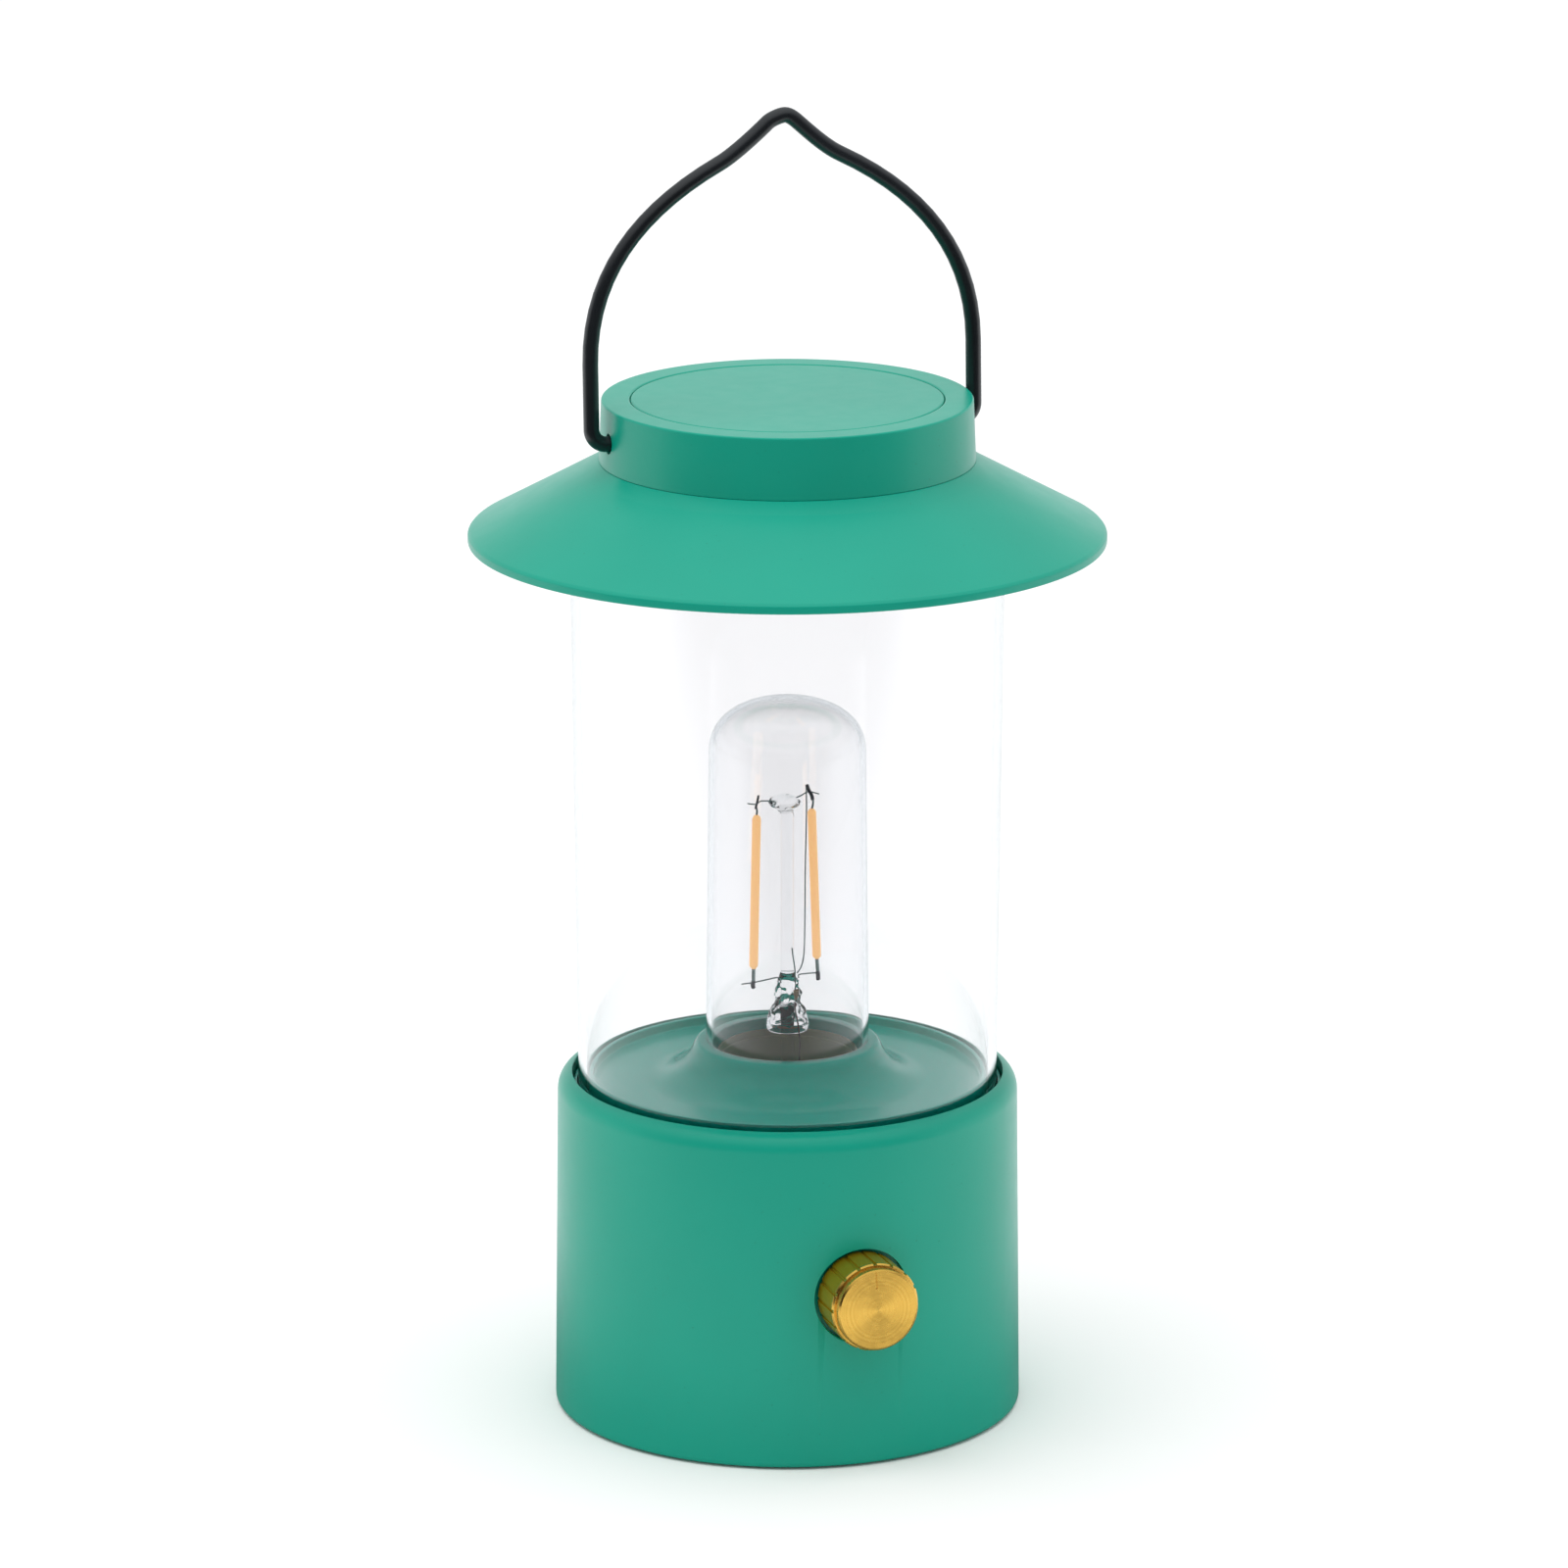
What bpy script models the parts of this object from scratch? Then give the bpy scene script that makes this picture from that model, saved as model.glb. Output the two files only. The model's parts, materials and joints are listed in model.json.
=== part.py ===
"""Battery lantern with a wire bail handle, a clear chimney and a filament lamp.

Every size below is in millimetres and every angle in degrees; the helpers turn them into
metres and radians. The origin is on the floor under the middle of the base, +Z is up, the
dimmer knob faces -Y and the handle swings about a line along X.
"""

import math

import bmesh
import bpy
from mathutils import Matrix, Vector

MM = 0.001

# Driving dimensions
ROUND = 40  # facets round a large turned piece
ROUND_SMALL = 12  # facets round a screw or a pin
GAP = 0.3  # running gap between neighbouring mouldings
FACET_START = 2.0  # facets start off the X axis, so that none has a corner on a symmetry plane
HELPER_TURN = (0, 0, 4)  # keeps a post's corners off the lines between facets

SHELL_BOTTOM_Z = 0.3  # the shell's edge clears the floor by this much
BASE_HEIGHT = 65.3
BASE_BOTTOM_R = 44.5
BASE_TOP_R = 43.75
BASE_EDGE_R = 3.7
BASE_WALL = 2.8
RIM_INNER_R = 40.9
LEDGE_Z = 57.8
COVER_R = 41.9
COVER_BOTTOM_Z = 0.9
COVER_TOP_Z = 2.9

DECK_Z = 64.0
DECK_R = 36.95
LIP_TOP_Z = 65.7
GROOVE_INNER_R = 37.9
GROOVE_OUTER_R = 40.0
GROOVE_Z = 61.0
GROOVE_WALL_TOP_Z = 63.2  # the groove's outer wall stays well below the rim
BOSS_TOP_Z = 71.2
BOSS_HOLE_R = 14.2
BOSS_BOTTOM_Z = 60.5
FLARE_R = 9.8
FLARE_CENTRE = (26.9, 73.8)

CHIMNEY_BOTTOM_Z = 62.0
CHIMNEY_TOP_Z = 169.6
CHIMNEY_BOTTOM_R = 39.76
CHIMNEY_TOP_R = 40.88
CHIMNEY_WALL = 1.6

BRIM_R = 59.85
BRIM_BOTTOM_Z = 168.65
BRIM_TOP_Z = 170.45
SHADE_TOP_Z = 184.0
SHADE_TOP_R = 35.3
SHADE_WALL = 1.9

CAP_TOP_Z = 195.65
CAP_TOP_R = 34.75
CAP_EDGE_R = 0.4
CAP_BOTTOM_R = 35.25
CAP_WALL = 2.0
CAP_DISC_R = 29.1
CAP_POST_RING_R = 24.0
CAP_POST_ANGLES = (90, 210, 330)

PIVOT_Z = 189.3
WIRE_R = 1.48
HANDLE_HALF_SPAN = 37.6
HANDLE_BEND_R = 2.9
HANDLE_RISE = 59.4
HANDLE_PEAK_X = 0.9  # the wire is bent slightly unevenly, so its peak is off centre
# For each leg: the shoulder beside the peak and the start of the peak's bend, as (distance out,
# drop below the peak), and the slope of the wire at the shoulder
HANDLE_SHOULDERS = {-1: ((11.9, 8.3), (2.5, 1.3), 0.5), 1: ((11.6, 7.8), (3.5, 1.5), 0.5)}
HANDLE_LEAN = 2.3  # at rest the handle leans back this far
HANDLE_SHIFT = -0.65  # and lies this far to one side, within its side play

DOME_BOTTOM_R = 15.5
DOME_TOP_R = 14.85
DOME_WALL = 1.0
DOME_SPRING_Z = 127.9  # where the straight wall turns into the crown
DOME_TOP_Z = 137.9
DOME_SQUARENESS = 0.9  # 1 makes the crown an ellipse, less makes its shoulders squarer
DOME_SPIGOT = 1.3  # depth of the ring that plugs into the boss

LAMP_TURN = 16.0  # the filaments' plane is turned this far from the X axis
FILAMENT_R = 0.8
FILAMENT_LEAD_R = 0.35
FILAMENT_LIT = 29.6
FILAMENT_LENGTH = 37.0
FILAMENT_MID_Z = 101.1
LAMP_WIRE_R = 0.3

KNOB_Z = 33.4
KNOB_FACE_Y = 53.1
KNOB_BACK_Y = 42.4
KNOB_R = 8.5
KNOB_FACE_R = 7.85
KNOB_STEP = 1.9  # the face stands this far in front of the grip
GRIP_GROOVES = 16
GRIP_GROOVE = (0.7, 0.35)  # width and depth of one groove
POCKET_R = 8.9
POCKET_Y = 41.6
PAD_R = 11.0
PAD_Y = 38.6
SHAFT_R = 3.0
BUSHING_R = 3.5

CELL_R = 7.1
CELL_LENGTH = 50.5
CELL_PITCH = 14.6
CELL_Z = 10.4
BAY_HALF_X = 28.7
BAY_HALF_Y = 22.4
BAY_TOP_Z = 18.3
BAY_WALL = 1.5
DOOR_HALF_X = 29.5
DOOR_HALF_Y = 23.2
DOOR_THICK = 1.4
CONTACT_THICK = 0.4

SCREW_POST_X = 17.5
SCREW_POST_Y = 27.8
SCREW_JOINT_Z = 24.0
SCREW_R = 1.45
SCREW_HEAD_R = 2.7

BOARD_BOTTOM_Z = 21.5
BOARD_THICK = 1.6
BOARD_SIZE = (36.0, 22.0)
BOARD_Y = 4.0
BOARD_PIN_X = 14.0

# Colours, linear red, green and blue
GREEN = (0.020, 0.330, 0.220)
GOLD = (0.780, 0.470, 0.080)
BLACK = (0.012, 0.014, 0.016)
CLEAR = (0.970, 0.975, 0.985)
WHITE = (0.850, 0.850, 0.840)
STEEL = (0.600, 0.600, 0.590)
BRASS = (0.600, 0.450, 0.180)
OLIVE = (0.190, 0.190, 0.130)
AMBER = (0.900, 0.480, 0.130)
BOARD_GREEN = (0.030, 0.180, 0.060)
RUBBER = (0.030, 0.030, 0.030)
RED = (0.500, 0.020, 0.020)


def clear_scene():
    for obj in list(bpy.data.objects):
        bpy.data.objects.remove(obj, do_unlink=True)


def make_material(name, colour, roughness, metallic=0.0, transmission=0.0):
    material = bpy.data.materials.new(name)
    material.use_nodes = True
    shader = material.node_tree.nodes["Principled BSDF"]
    shader.inputs["Base Color"].default_value = (*colour, 1.0)
    shader.inputs["Roughness"].default_value = roughness
    shader.inputs["Metallic"].default_value = metallic
    shader.inputs["Transmission Weight"].default_value = transmission
    return material


def add_object(name, data, material):
    data.materials.append(material)
    obj = bpy.data.objects.new(name, data)
    bpy.context.scene.collection.objects.link(obj)
    return obj


def mesh_from(name, bm):
    """A mesh with outward normals, smooth faces and sharp corners."""
    bmesh.ops.recalc_face_normals(bm, faces=bm.faces)
    mesh = bpy.data.meshes.new(name)
    bm.to_mesh(mesh)
    bm.free()
    mesh.shade_smooth()
    mesh.set_sharp_from_angle(angle=math.radians(30))
    return mesh


def arc(centre, radius, start, end, count):
    """count + 1 points along a circular arc, angles in degrees from the radius axis."""
    points = []
    for step in range(count + 1):
        angle = math.radians(start + (end - start) * step / count)
        points.append((centre[0] + radius * math.cos(angle), centre[1] + radius * math.sin(angle)))
    return points


def lathe_mesh(name, profile, steps):
    """A closed solid turned about Z from (radius, height) points."""
    bm = bmesh.new()
    start = math.radians(FACET_START)
    verts = []
    for radius, height in profile:
        point = Vector((radius * math.cos(start), radius * math.sin(start), height))
        verts.append(bm.verts.new(point * MM))
    edges = [bm.edges.new(pair) for pair in zip(verts, verts[1:])]
    if profile[0][0] > 0:
        edges.append(bm.edges.new((verts[-1], verts[0])))
    bmesh.ops.spin(
        bm, geom=verts + edges, axis=(0, 0, 1), cent=(0, 0, 0), steps=steps, angle=math.tau
    )
    bmesh.ops.remove_doubles(bm, verts=bm.verts, dist=1e-7)
    return mesh_from(name, bm)


def lathe(name, profile, material, steps=ROUND):
    return add_object(name, lathe_mesh(name, profile, steps), material)


def box(name, low, high, material):
    """A rectangular block between two corners."""
    bm = bmesh.new()
    bmesh.ops.create_cube(bm, size=1.0)
    for vert in bm.verts:
        vert.co = [
            ((lo + hi) / 2 + (hi - lo) * part) * MM for lo, hi, part in zip(low, high, vert.co)
        ]
    return add_object(name, mesh_from(name, bm), material)


def place(obj, at, turn=(0, 0, 0)):
    obj.location = [value * MM for value in at]
    obj.rotation_euler = [math.radians(value) for value in turn]
    return obj


def rod(name, radius, length, material, at, turn=(0, 0, 0), steps=ROUND_SMALL):
    """A plain cylinder that starts at a point and runs along its own +Z."""
    obj = lathe(name, [(0, 0), (radius, 0), (radius, length), (0, length)], material, steps)
    return place(obj, at, turn)


def boolean(target, helper, operation):
    """Adds or removes a hidden helper body."""
    helper.hide_render = True
    helper.display_type = "WIRE"
    modifier = target.modifiers.new(helper.name, "BOOLEAN")
    modifier.operation = operation
    modifier.object = helper
    modifier.solver = "EXACT"


def bend_wire(name, points, radius, material, sides=2, resolution=4):
    """A round wire through the given points, with flat closed ends."""
    curve = bpy.data.curves.new(name, "CURVE")
    curve.dimensions = "3D"
    curve.resolution_u = resolution
    curve.bevel_depth = radius * MM
    curve.bevel_resolution = sides
    curve.use_fill_caps = True
    spline = curve.splines.new("BEZIER")
    spline.bezier_points.add(len(points) - 1)
    for knot, point in zip(spline.bezier_points, points):
        knot.co = Vector(point) * MM
        knot.handle_left_type = "AUTO"
        knot.handle_right_type = "AUTO"
    return add_object(name, curve, material)


def screw(name, head_r, head_height, shank_r, shank_length, material):
    """A pan-head screw with a cross recess's central hole, head down and point up."""
    profile = [
        (0, 0.8),
        (0.7, 0.8),
        (0.9, 0),
        (head_r - 0.4, 0),
        (head_r, 0.5),
        (head_r, head_height),
        (shank_r, head_height),
        (shank_r, head_height + shank_length - shank_r),
        (0.2, head_height + shank_length),
        (0, head_height + shank_length),
    ]
    return lathe(name, profile, material, 12)


def build_base_shell(green):
    inner_r = BASE_BOTTOM_R - BASE_WALL - 0.1
    edge_centre = (BASE_TOP_R - BASE_EDGE_R, BASE_HEIGHT - BASE_EDGE_R)
    profile = [(BASE_BOTTOM_R, SHELL_BOTTOM_Z)]
    profile += arc(edge_centre, BASE_EDGE_R, 0, 72, 4)
    profile += [
        (RIM_INNER_R + 0.1, BASE_HEIGHT - 0.28),
        (RIM_INNER_R, BASE_HEIGHT - 0.5),
        (RIM_INNER_R, LEDGE_Z),
        (RIM_INNER_R - 1.7, LEDGE_Z),
        (RIM_INNER_R - 1.7, LEDGE_Z - 2),
        (inner_r, LEDGE_Z - 3.5),
        (inner_r, COVER_TOP_Z + GAP),
        (COVER_R + GAP, COVER_TOP_Z + GAP),
        (COVER_R + GAP, SHELL_BOTTOM_Z),
    ]
    shell = lathe("base_shell", profile, green)
    pad = rod("shell_pad", PAD_R, 3.8, green, (0, -PAD_Y, KNOB_Z), (90, 0, 0), 32)
    boolean(shell, pad, "UNION")
    pocket = rod("shell_pocket", POCKET_R, 6, green, (0, -POCKET_Y, KNOB_Z), (90, 0, 0), 32)
    boolean(shell, pocket, "DIFFERENCE")
    hole = rod("shell_hole", BUSHING_R + 0.15, 8, green, (0, 1 - PAD_Y, KNOB_Z), (90, 0, 0), 24)
    boolean(shell, hole, "DIFFERENCE")


def corner_points():
    return [(x, y) for y in (-SCREW_POST_Y, SCREW_POST_Y) for x in (-SCREW_POST_X, SCREW_POST_X)]


def build_tray(green):
    under = 1.8
    profile = [
        (BOSS_HOLE_R, BOSS_BOTTOM_Z),
        (BOSS_HOLE_R, BOSS_TOP_Z - 0.15),
        (BOSS_HOLE_R + 0.15, BOSS_TOP_Z),
        (16.6, BOSS_TOP_Z),
        (17.1, BOSS_TOP_Z - 0.15),
    ]
    profile += arc(FLARE_CENTRE, FLARE_R, 198, 270, 5)
    profile += [
        (DECK_R, DECK_Z),
        (DECK_R, LIP_TOP_Z - 0.2),
        (DECK_R + 0.2, LIP_TOP_Z),
        (GROOVE_INNER_R - 0.2, LIP_TOP_Z),
        (GROOVE_INNER_R, LIP_TOP_Z - 0.2),
        (GROOVE_INNER_R, GROOVE_Z),
        (GROOVE_OUTER_R, GROOVE_Z),
        (GROOVE_OUTER_R, GROOVE_WALL_TOP_Z),
        (RIM_INNER_R - GAP - 0.15, GROOVE_WALL_TOP_Z),
        (RIM_INNER_R - GAP, GROOVE_WALL_TOP_Z - 0.15),
        (RIM_INNER_R - GAP, LEDGE_Z + 0.2),
        (RIM_INNER_R - 2, LEDGE_Z + 0.2),
        (RIM_INNER_R - 2, GROOVE_Z - 1.6),
        (DECK_R - 0.5, GROOVE_Z - 1.6),
        (DECK_R - 0.9, DECK_Z - under),
    ]
    profile += arc(FLARE_CENTRE, FLARE_R + under, 270, 212, 3)
    profile += [(BOSS_HOLE_R + under, 67.2), (BOSS_HOLE_R + under, BOSS_BOTTOM_Z)]
    tray = lathe("tray", profile, green)
    for number, (x, y) in enumerate(corner_points(), 1):
        length = DECK_Z - 1 - SCREW_JOINT_Z - GAP
        start = (x, y, SCREW_JOINT_Z + GAP)
        post = rod(f"tray_post_{number}", 4, length, green, start, HELPER_TURN)
        boolean(tray, post, "UNION")
    for number, (x, y) in enumerate(corner_points(), 1):
        hole = rod(f"tray_bore_{number}", SCREW_R + 0.05, 11, green, (x, y, SCREW_JOINT_Z - 1))
        boolean(tray, hole, "DIFFERENCE")


def build_chimney(clear, soft):
    profile = [
        (CHIMNEY_BOTTOM_R - CHIMNEY_WALL, CHIMNEY_BOTTOM_Z),
        (CHIMNEY_BOTTOM_R, CHIMNEY_BOTTOM_Z),
        (CHIMNEY_TOP_R, CHIMNEY_TOP_Z),
        (CHIMNEY_TOP_R - CHIMNEY_WALL, CHIMNEY_TOP_Z),
    ]
    lathe("chimney", profile, clear)
    for name, inner, outer, bottom in (
        ("lower_seal", GROOVE_INNER_R + 0.1, GROOVE_OUTER_R - 0.1, GROOVE_Z + 0.1),
        ("upper_seal", 39.15, 41.0, CHIMNEY_TOP_Z + 0.1),
    ):
        top = bottom + 0.8
        lathe(name, [(inner, bottom), (outer, bottom), (outer, top), (inner, top)], soft)


def build_shade(green, white, steel):
    profile = [
        (0, SHADE_TOP_Z),
        (SHADE_TOP_R, SHADE_TOP_Z),
        (SHADE_TOP_R + 3.2, SHADE_TOP_Z - 2.0),
        (48.0, 176.8),
        (BRIM_R - 0.6, BRIM_TOP_Z + 0.15),
        (BRIM_R - 0.1, BRIM_TOP_Z - 0.1),
        (BRIM_R, BRIM_TOP_Z - 0.4),
        (BRIM_R, BRIM_BOTTOM_Z + 0.2),
        (BRIM_R - 0.2, BRIM_BOTTOM_Z),
        (BRIM_R - 1.1, BRIM_BOTTOM_Z),
        (BRIM_R - 1.6, BRIM_BOTTOM_Z + 0.7),
        (42.3, 177.9),
        (42.3, 166.6),
        (41.15, 166.6),
        (41.15, 170.7),
        (39.0, 170.7),
        (39.0, 166.6),
        (37.7, 166.6),
        (37.7, 171.9),
        (41.0, 171.9),
        (41.0, 178.7),
        (34.8, SHADE_TOP_Z - SHADE_WALL),
        (0, SHADE_TOP_Z - SHADE_WALL),
    ]
    shade = lathe("shade", profile, green)
    for number, (x, y) in enumerate(cap_post_points(), 1):
        hole = rod(f"shade_hole_{number}", 1.7, 6, green, (x, y, SHADE_TOP_Z - 4), HELPER_TURN)
        boolean(shade, hole, "DIFFERENCE")
        fixing = screw(f"cap_screw_{number}", SCREW_HEAD_R, 1.9, SCREW_R, 8.0, steel)
        place(fixing, (x, y, SHADE_TOP_Z - SHADE_WALL - 2.0))
    reflector = [(0, 168.4), (36.2, 168.4), (36.2, 171), (37.4, 171), (37.4, 167.2), (0, 167.2)]
    lathe("reflector", reflector, white)


def cap_post_points():
    points = []
    for angle in CAP_POST_ANGLES:
        turn = math.radians(angle)
        points.append((CAP_POST_RING_R * math.cos(turn), CAP_POST_RING_R * math.sin(turn)))
    return points


def build_cap(green):
    recess_z = CAP_TOP_Z - 1.4
    inside_z = recess_z - 1.8
    bottom_z = SHADE_TOP_Z + 0.1
    profile = [
        (0, recess_z),
        (CAP_DISC_R + 0.25, recess_z),
        (CAP_DISC_R + 0.25, CAP_TOP_Z - 0.25),
        (CAP_DISC_R + 0.5, CAP_TOP_Z),
    ]
    profile += arc((CAP_TOP_R - CAP_EDGE_R, CAP_TOP_Z - CAP_EDGE_R), CAP_EDGE_R, 90, 0, 3)
    profile += [
        (CAP_BOTTOM_R, bottom_z),
        (CAP_BOTTOM_R - CAP_WALL, bottom_z),
        (CAP_TOP_R - CAP_WALL, inside_z),
        (0, inside_z),
    ]
    cap = lathe("top_cap", profile, green)
    for number, (x, y) in enumerate(cap_post_points(), 1):
        height = inside_z + 1 - bottom_z
        post = rod(f"cap_post_{number}", 3.2, height, green, (x, y, bottom_z), HELPER_TURN)
        boolean(cap, post, "UNION")
        start = (x, y, bottom_z - 1)
        bore = rod(f"cap_bore_{number}", SCREW_R + 0.05, 7.6, green, start, HELPER_TURN)
        boolean(cap, bore, "DIFFERENCE")
    reach = 2 * (CAP_BOTTOM_R + 2)
    start = (-reach / 2, 0, PIVOT_Z)
    pivot_hole = rod("cap_pivot_hole", WIRE_R + 0.45, reach, green, start, (0, 90, 0))
    boolean(cap, pivot_hole, "DIFFERENCE")
    disc = [
        (0, CAP_TOP_Z - 0.05),
        (CAP_DISC_R - 0.2, CAP_TOP_Z - 0.05),
        (CAP_DISC_R, CAP_TOP_Z - 0.25),
        (CAP_DISC_R, recess_z + 0.15),
        (0, recess_z + 0.15),
    ]
    lathe("cap_disc", disc, green)


def handle_knots(side):
    """One leg of the bail, from its inner end up to the peak, for side -1 or 1. Each knot is a
    point and the offsets of its two curve handles, as (x, height) above the pivot."""
    quarter = 0.5523 * HANDLE_BEND_R
    bend_x = HANDLE_HALF_SPAN - HANDLE_BEND_R
    (out_x, drop), (neck_x, neck_drop), slope = HANDLE_SHOULDERS[side]
    knots = [
        ((30.5, 0), (0, 0), (1, 0)),
        ((bend_x, 0), (-1, 0), (quarter, 0)),
        ((HANDLE_HALF_SPAN, HANDLE_BEND_R), (0, -quarter), (0, 4)),
        ((HANDLE_HALF_SPAN, 15), (0, -4), (0, 16.4)),
        ((out_x, HANDLE_RISE - drop), (16.3, -16.3 * slope), (-2.8, 2.8 * slope)),
        ((neck_x, HANDLE_RISE - neck_drop), (1.9, -1.7), (-0.7, 0.63)),
    ]
    return [[(side * x, height) for x, height in knot] for knot in knots]


def build_handle(black):
    peak = [(HANDLE_PEAK_X, HANDLE_RISE), (-0.9, 0), (0.9, 0)]
    other_leg = [(point, forward, back) for point, back, forward in reversed(handle_knots(1))]
    knots = handle_knots(-1) + [peak] + other_leg
    curve = bpy.data.curves.new("handle", "CURVE")
    curve.dimensions = "3D"
    curve.resolution_u = 6
    curve.bevel_depth = WIRE_R * MM
    curve.bevel_resolution = 3
    curve.use_fill_caps = True
    spline = curve.splines.new("BEZIER")
    spline.bezier_points.add(len(knots) - 1)
    for knot, ((x, height), back, forward) in zip(spline.bezier_points, knots):
        knot.handle_left_type = "FREE"
        knot.handle_right_type = "FREE"
        knot.co = Vector((x, 0, height)) * MM
        knot.handle_left = Vector((x + back[0], 0, height + back[1])) * MM
        knot.handle_right = Vector((x + forward[0], 0, height + forward[1])) * MM
    handle = add_object("handle", curve, black)
    place(handle, (HANDLE_SHIFT, 0, PIVOT_Z), (-HANDLE_LEAN, 0, 0))


def build_dome(clear):
    crown = DOME_TOP_Z - DOME_SPRING_Z
    foot_z = BOSS_TOP_Z + 0.1

    def wall(inset):
        """The crown from the axis outwards, squarer than an ellipse."""
        points = [(0, DOME_TOP_Z - inset)]
        for turn in map(math.radians, (78, 64, 48, 32, 16, 0)):
            across = math.cos(turn) ** DOME_SQUARENESS
            rise = math.sin(turn) ** DOME_SQUARENESS
            points.append(((DOME_TOP_R - inset) * across, DOME_SPRING_Z + (crown - inset) * rise))
        return points

    spigot_r = BOSS_HOLE_R - 0.15
    foot = [
        (DOME_BOTTOM_R, foot_z),
        (spigot_r, foot_z),
        (spigot_r, foot_z - DOME_SPIGOT),
        (spigot_r - 0.6, foot_z - DOME_SPIGOT),
        (spigot_r - 0.6, foot_z + 0.2),
        (DOME_BOTTOM_R - DOME_WALL, foot_z + 1.2),
    ]
    lathe("bulb_dome", wall(0) + foot + wall(DOME_WALL)[::-1], clear, 32)


def lamp_point(offset, height, depth=0.0):
    """A point by its offset along the filaments' plane, height, and depth behind the plane."""
    turn = math.radians(LAMP_TURN)
    x = offset * math.cos(turn) - depth * math.sin(turn)
    y = offset * math.sin(turn) + depth * math.cos(turn)
    return (x, y, height)


def build_filament(name, top_offset, bottom_offset, amber):
    half, lit = FILAMENT_LENGTH / 2, FILAMENT_LIT / 2
    profile = [
        (0, -half),
        (FILAMENT_LEAD_R, -half),
        (FILAMENT_LEAD_R, -lit),
        (FILAMENT_R, 0.2 - lit),
        (FILAMENT_R, lit - 0.2),
        (FILAMENT_LEAD_R, lit),
        (FILAMENT_LEAD_R, half),
        (0, half),
    ]
    rod_body = lathe(name, profile, amber, 12)
    tilt = math.degrees(math.atan2(top_offset - bottom_offset, FILAMENT_LIT))
    middle = lamp_point((top_offset + bottom_offset) / 2, FILAMENT_MID_Z)
    place(rod_body, middle, (0, tilt, LAMP_TURN))


def build_lamp(glass, amber, steel, olive, white):
    stem = [
        (0, 60.6),
        (3.0, 60.6),
        (2.6, 61.4),
        (1.3, 62.4),
        (1.3, 72.4),
        (3.2, 72.9),
        (4.1, 74.2),
        (3.9, 75.8),
        (2.9, 78.2),
        (2.4, 80.8),
        (1.6, 82.8),
        (1.4, 85.0),
        (1.4, 116.2),
        (2.2, 116.7),
        (3.0, 117.5),
        (3.1, 118.1),
        (2.3, 118.8),
        (0, 119.0),
    ]
    lathe("glass_stem", stem, glass, 20)
    build_filament("filament_left", -7.1, -7.8, amber)
    build_filament("filament_right", 5.6, 7.0, amber)
    wires = {
        "top_wire_left": [(-6.6, 118.0), (-4.9, 118.3), (-3.45, 118.1)],
        "top_wire_right": [(3.45, 118.1), (4.2, 118.4), (4.9, 118.3)],
        "bottom_wire_left": [(-7.4, 83.4), (-4.6, 84.2), (-1.8, 83.9)],
        "bottom_wire_right": [(1.8, 83.9), (4.4, 83.8), (6.6, 83.6)],
        "return_wire": [
            (4.9, 117.6),
            (3.6, 112, -0.4),
            (3.1, 100, -0.8),
            (2.9, 88, -1),
            (3.2, 80.2, -1.2),
        ],
    }
    for name, path in wires.items():
        radius = LAMP_WIRE_R if name != "return_wire" else 0.2
        bend_wire(name, [lamp_point(*point) for point in path], radius, steel, 1, 3)
    cup = [
        (3.0, 57.6),
        (13.3, 57.6),
        (13.3, 59.2),
        (18.0, 59.2),
        (18.0, 60.2),
        (13.3, 60.2),
        (13.3, 69.3),
        (13.15, 69.5),
        (12.95, 69.5),
        (12.8, 69.3),
        (12.8, 58.4),
        (3.0, 58.4),
    ]
    lathe("lamp_cup", cup, olive, 32)
    insulator = [(1.2, 58.7), (12.5, 58.7), (12.5, 60.3), (1.2, 60.3)]
    lathe("lamp_insulator", insulator, white, 32)


def grip_grooves(name, length, material):
    """A ring of blocks, one for each groove along the knob's grip."""
    width, depth = GRIP_GROOVE
    bm = bmesh.new()
    for index in range(GRIP_GROOVES):
        turn = Matrix.Rotation(math.tau * index / GRIP_GROOVES, 4, "Z")
        block = bmesh.ops.create_cube(bm, size=1.0)["verts"]
        for vert in block:
            x, y, z = vert.co
            low = Vector((KNOB_R - depth + (x + 0.5) * (depth + 1), y * width, (z + 0.5) * length - 1))
            vert.co = turn @ low * MM
    return add_object(name, mesh_from(name, bm), material)


def build_knob(gold, steel):
    """Knob and grub screw share the turning axis, which is the knob's own Z."""
    depth = KNOB_FACE_Y - KNOB_BACK_Y
    grip = depth - KNOB_STEP
    profile = [
        (0, depth - 2.0),
        (SHAFT_R + 0.05, depth - 2.0),
        (SHAFT_R + 0.05, 3.0),
        (6.8, 3.0),
        (6.8, 0),
        (KNOB_R - 0.3, 0),
        (KNOB_R, 0.3),
        (KNOB_R, grip - 0.35),
        (KNOB_R - 0.3, grip),
        (KNOB_FACE_R, grip),
        (KNOB_FACE_R, depth - 0.35),
        (KNOB_FACE_R - 0.35, depth),
        (0, depth),
    ]
    knob = place(lathe("knob", profile, gold), (0, -KNOB_BACK_Y, KNOB_Z), (90, 0, 0))
    grooves = grip_grooves("knob_grooves", depth + 2, gold)
    place(grooves, (0, -KNOB_BACK_Y, KNOB_Z), (90, 0, 0))
    boolean(knob, grooves, "DIFFERENCE")
    grub_y = -KNOB_FACE_Y + 5.3
    hole = rod("knob_side_hole", 1.55, 8, gold, (0, grub_y, KNOB_Z - 10))
    boolean(knob, hole, "DIFFERENCE")
    grub = [(0, 0.9), (0.7, 0.9), (0.7, 0), (1.5, 0), (1.5, 4.6), (0, 4.6)]
    screw_body = lathe("knob_set_screw", grub, steel, ROUND_SMALL)
    place(screw_body, (0, grub_y, KNOB_Z - SHAFT_R - 4.7))


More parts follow.
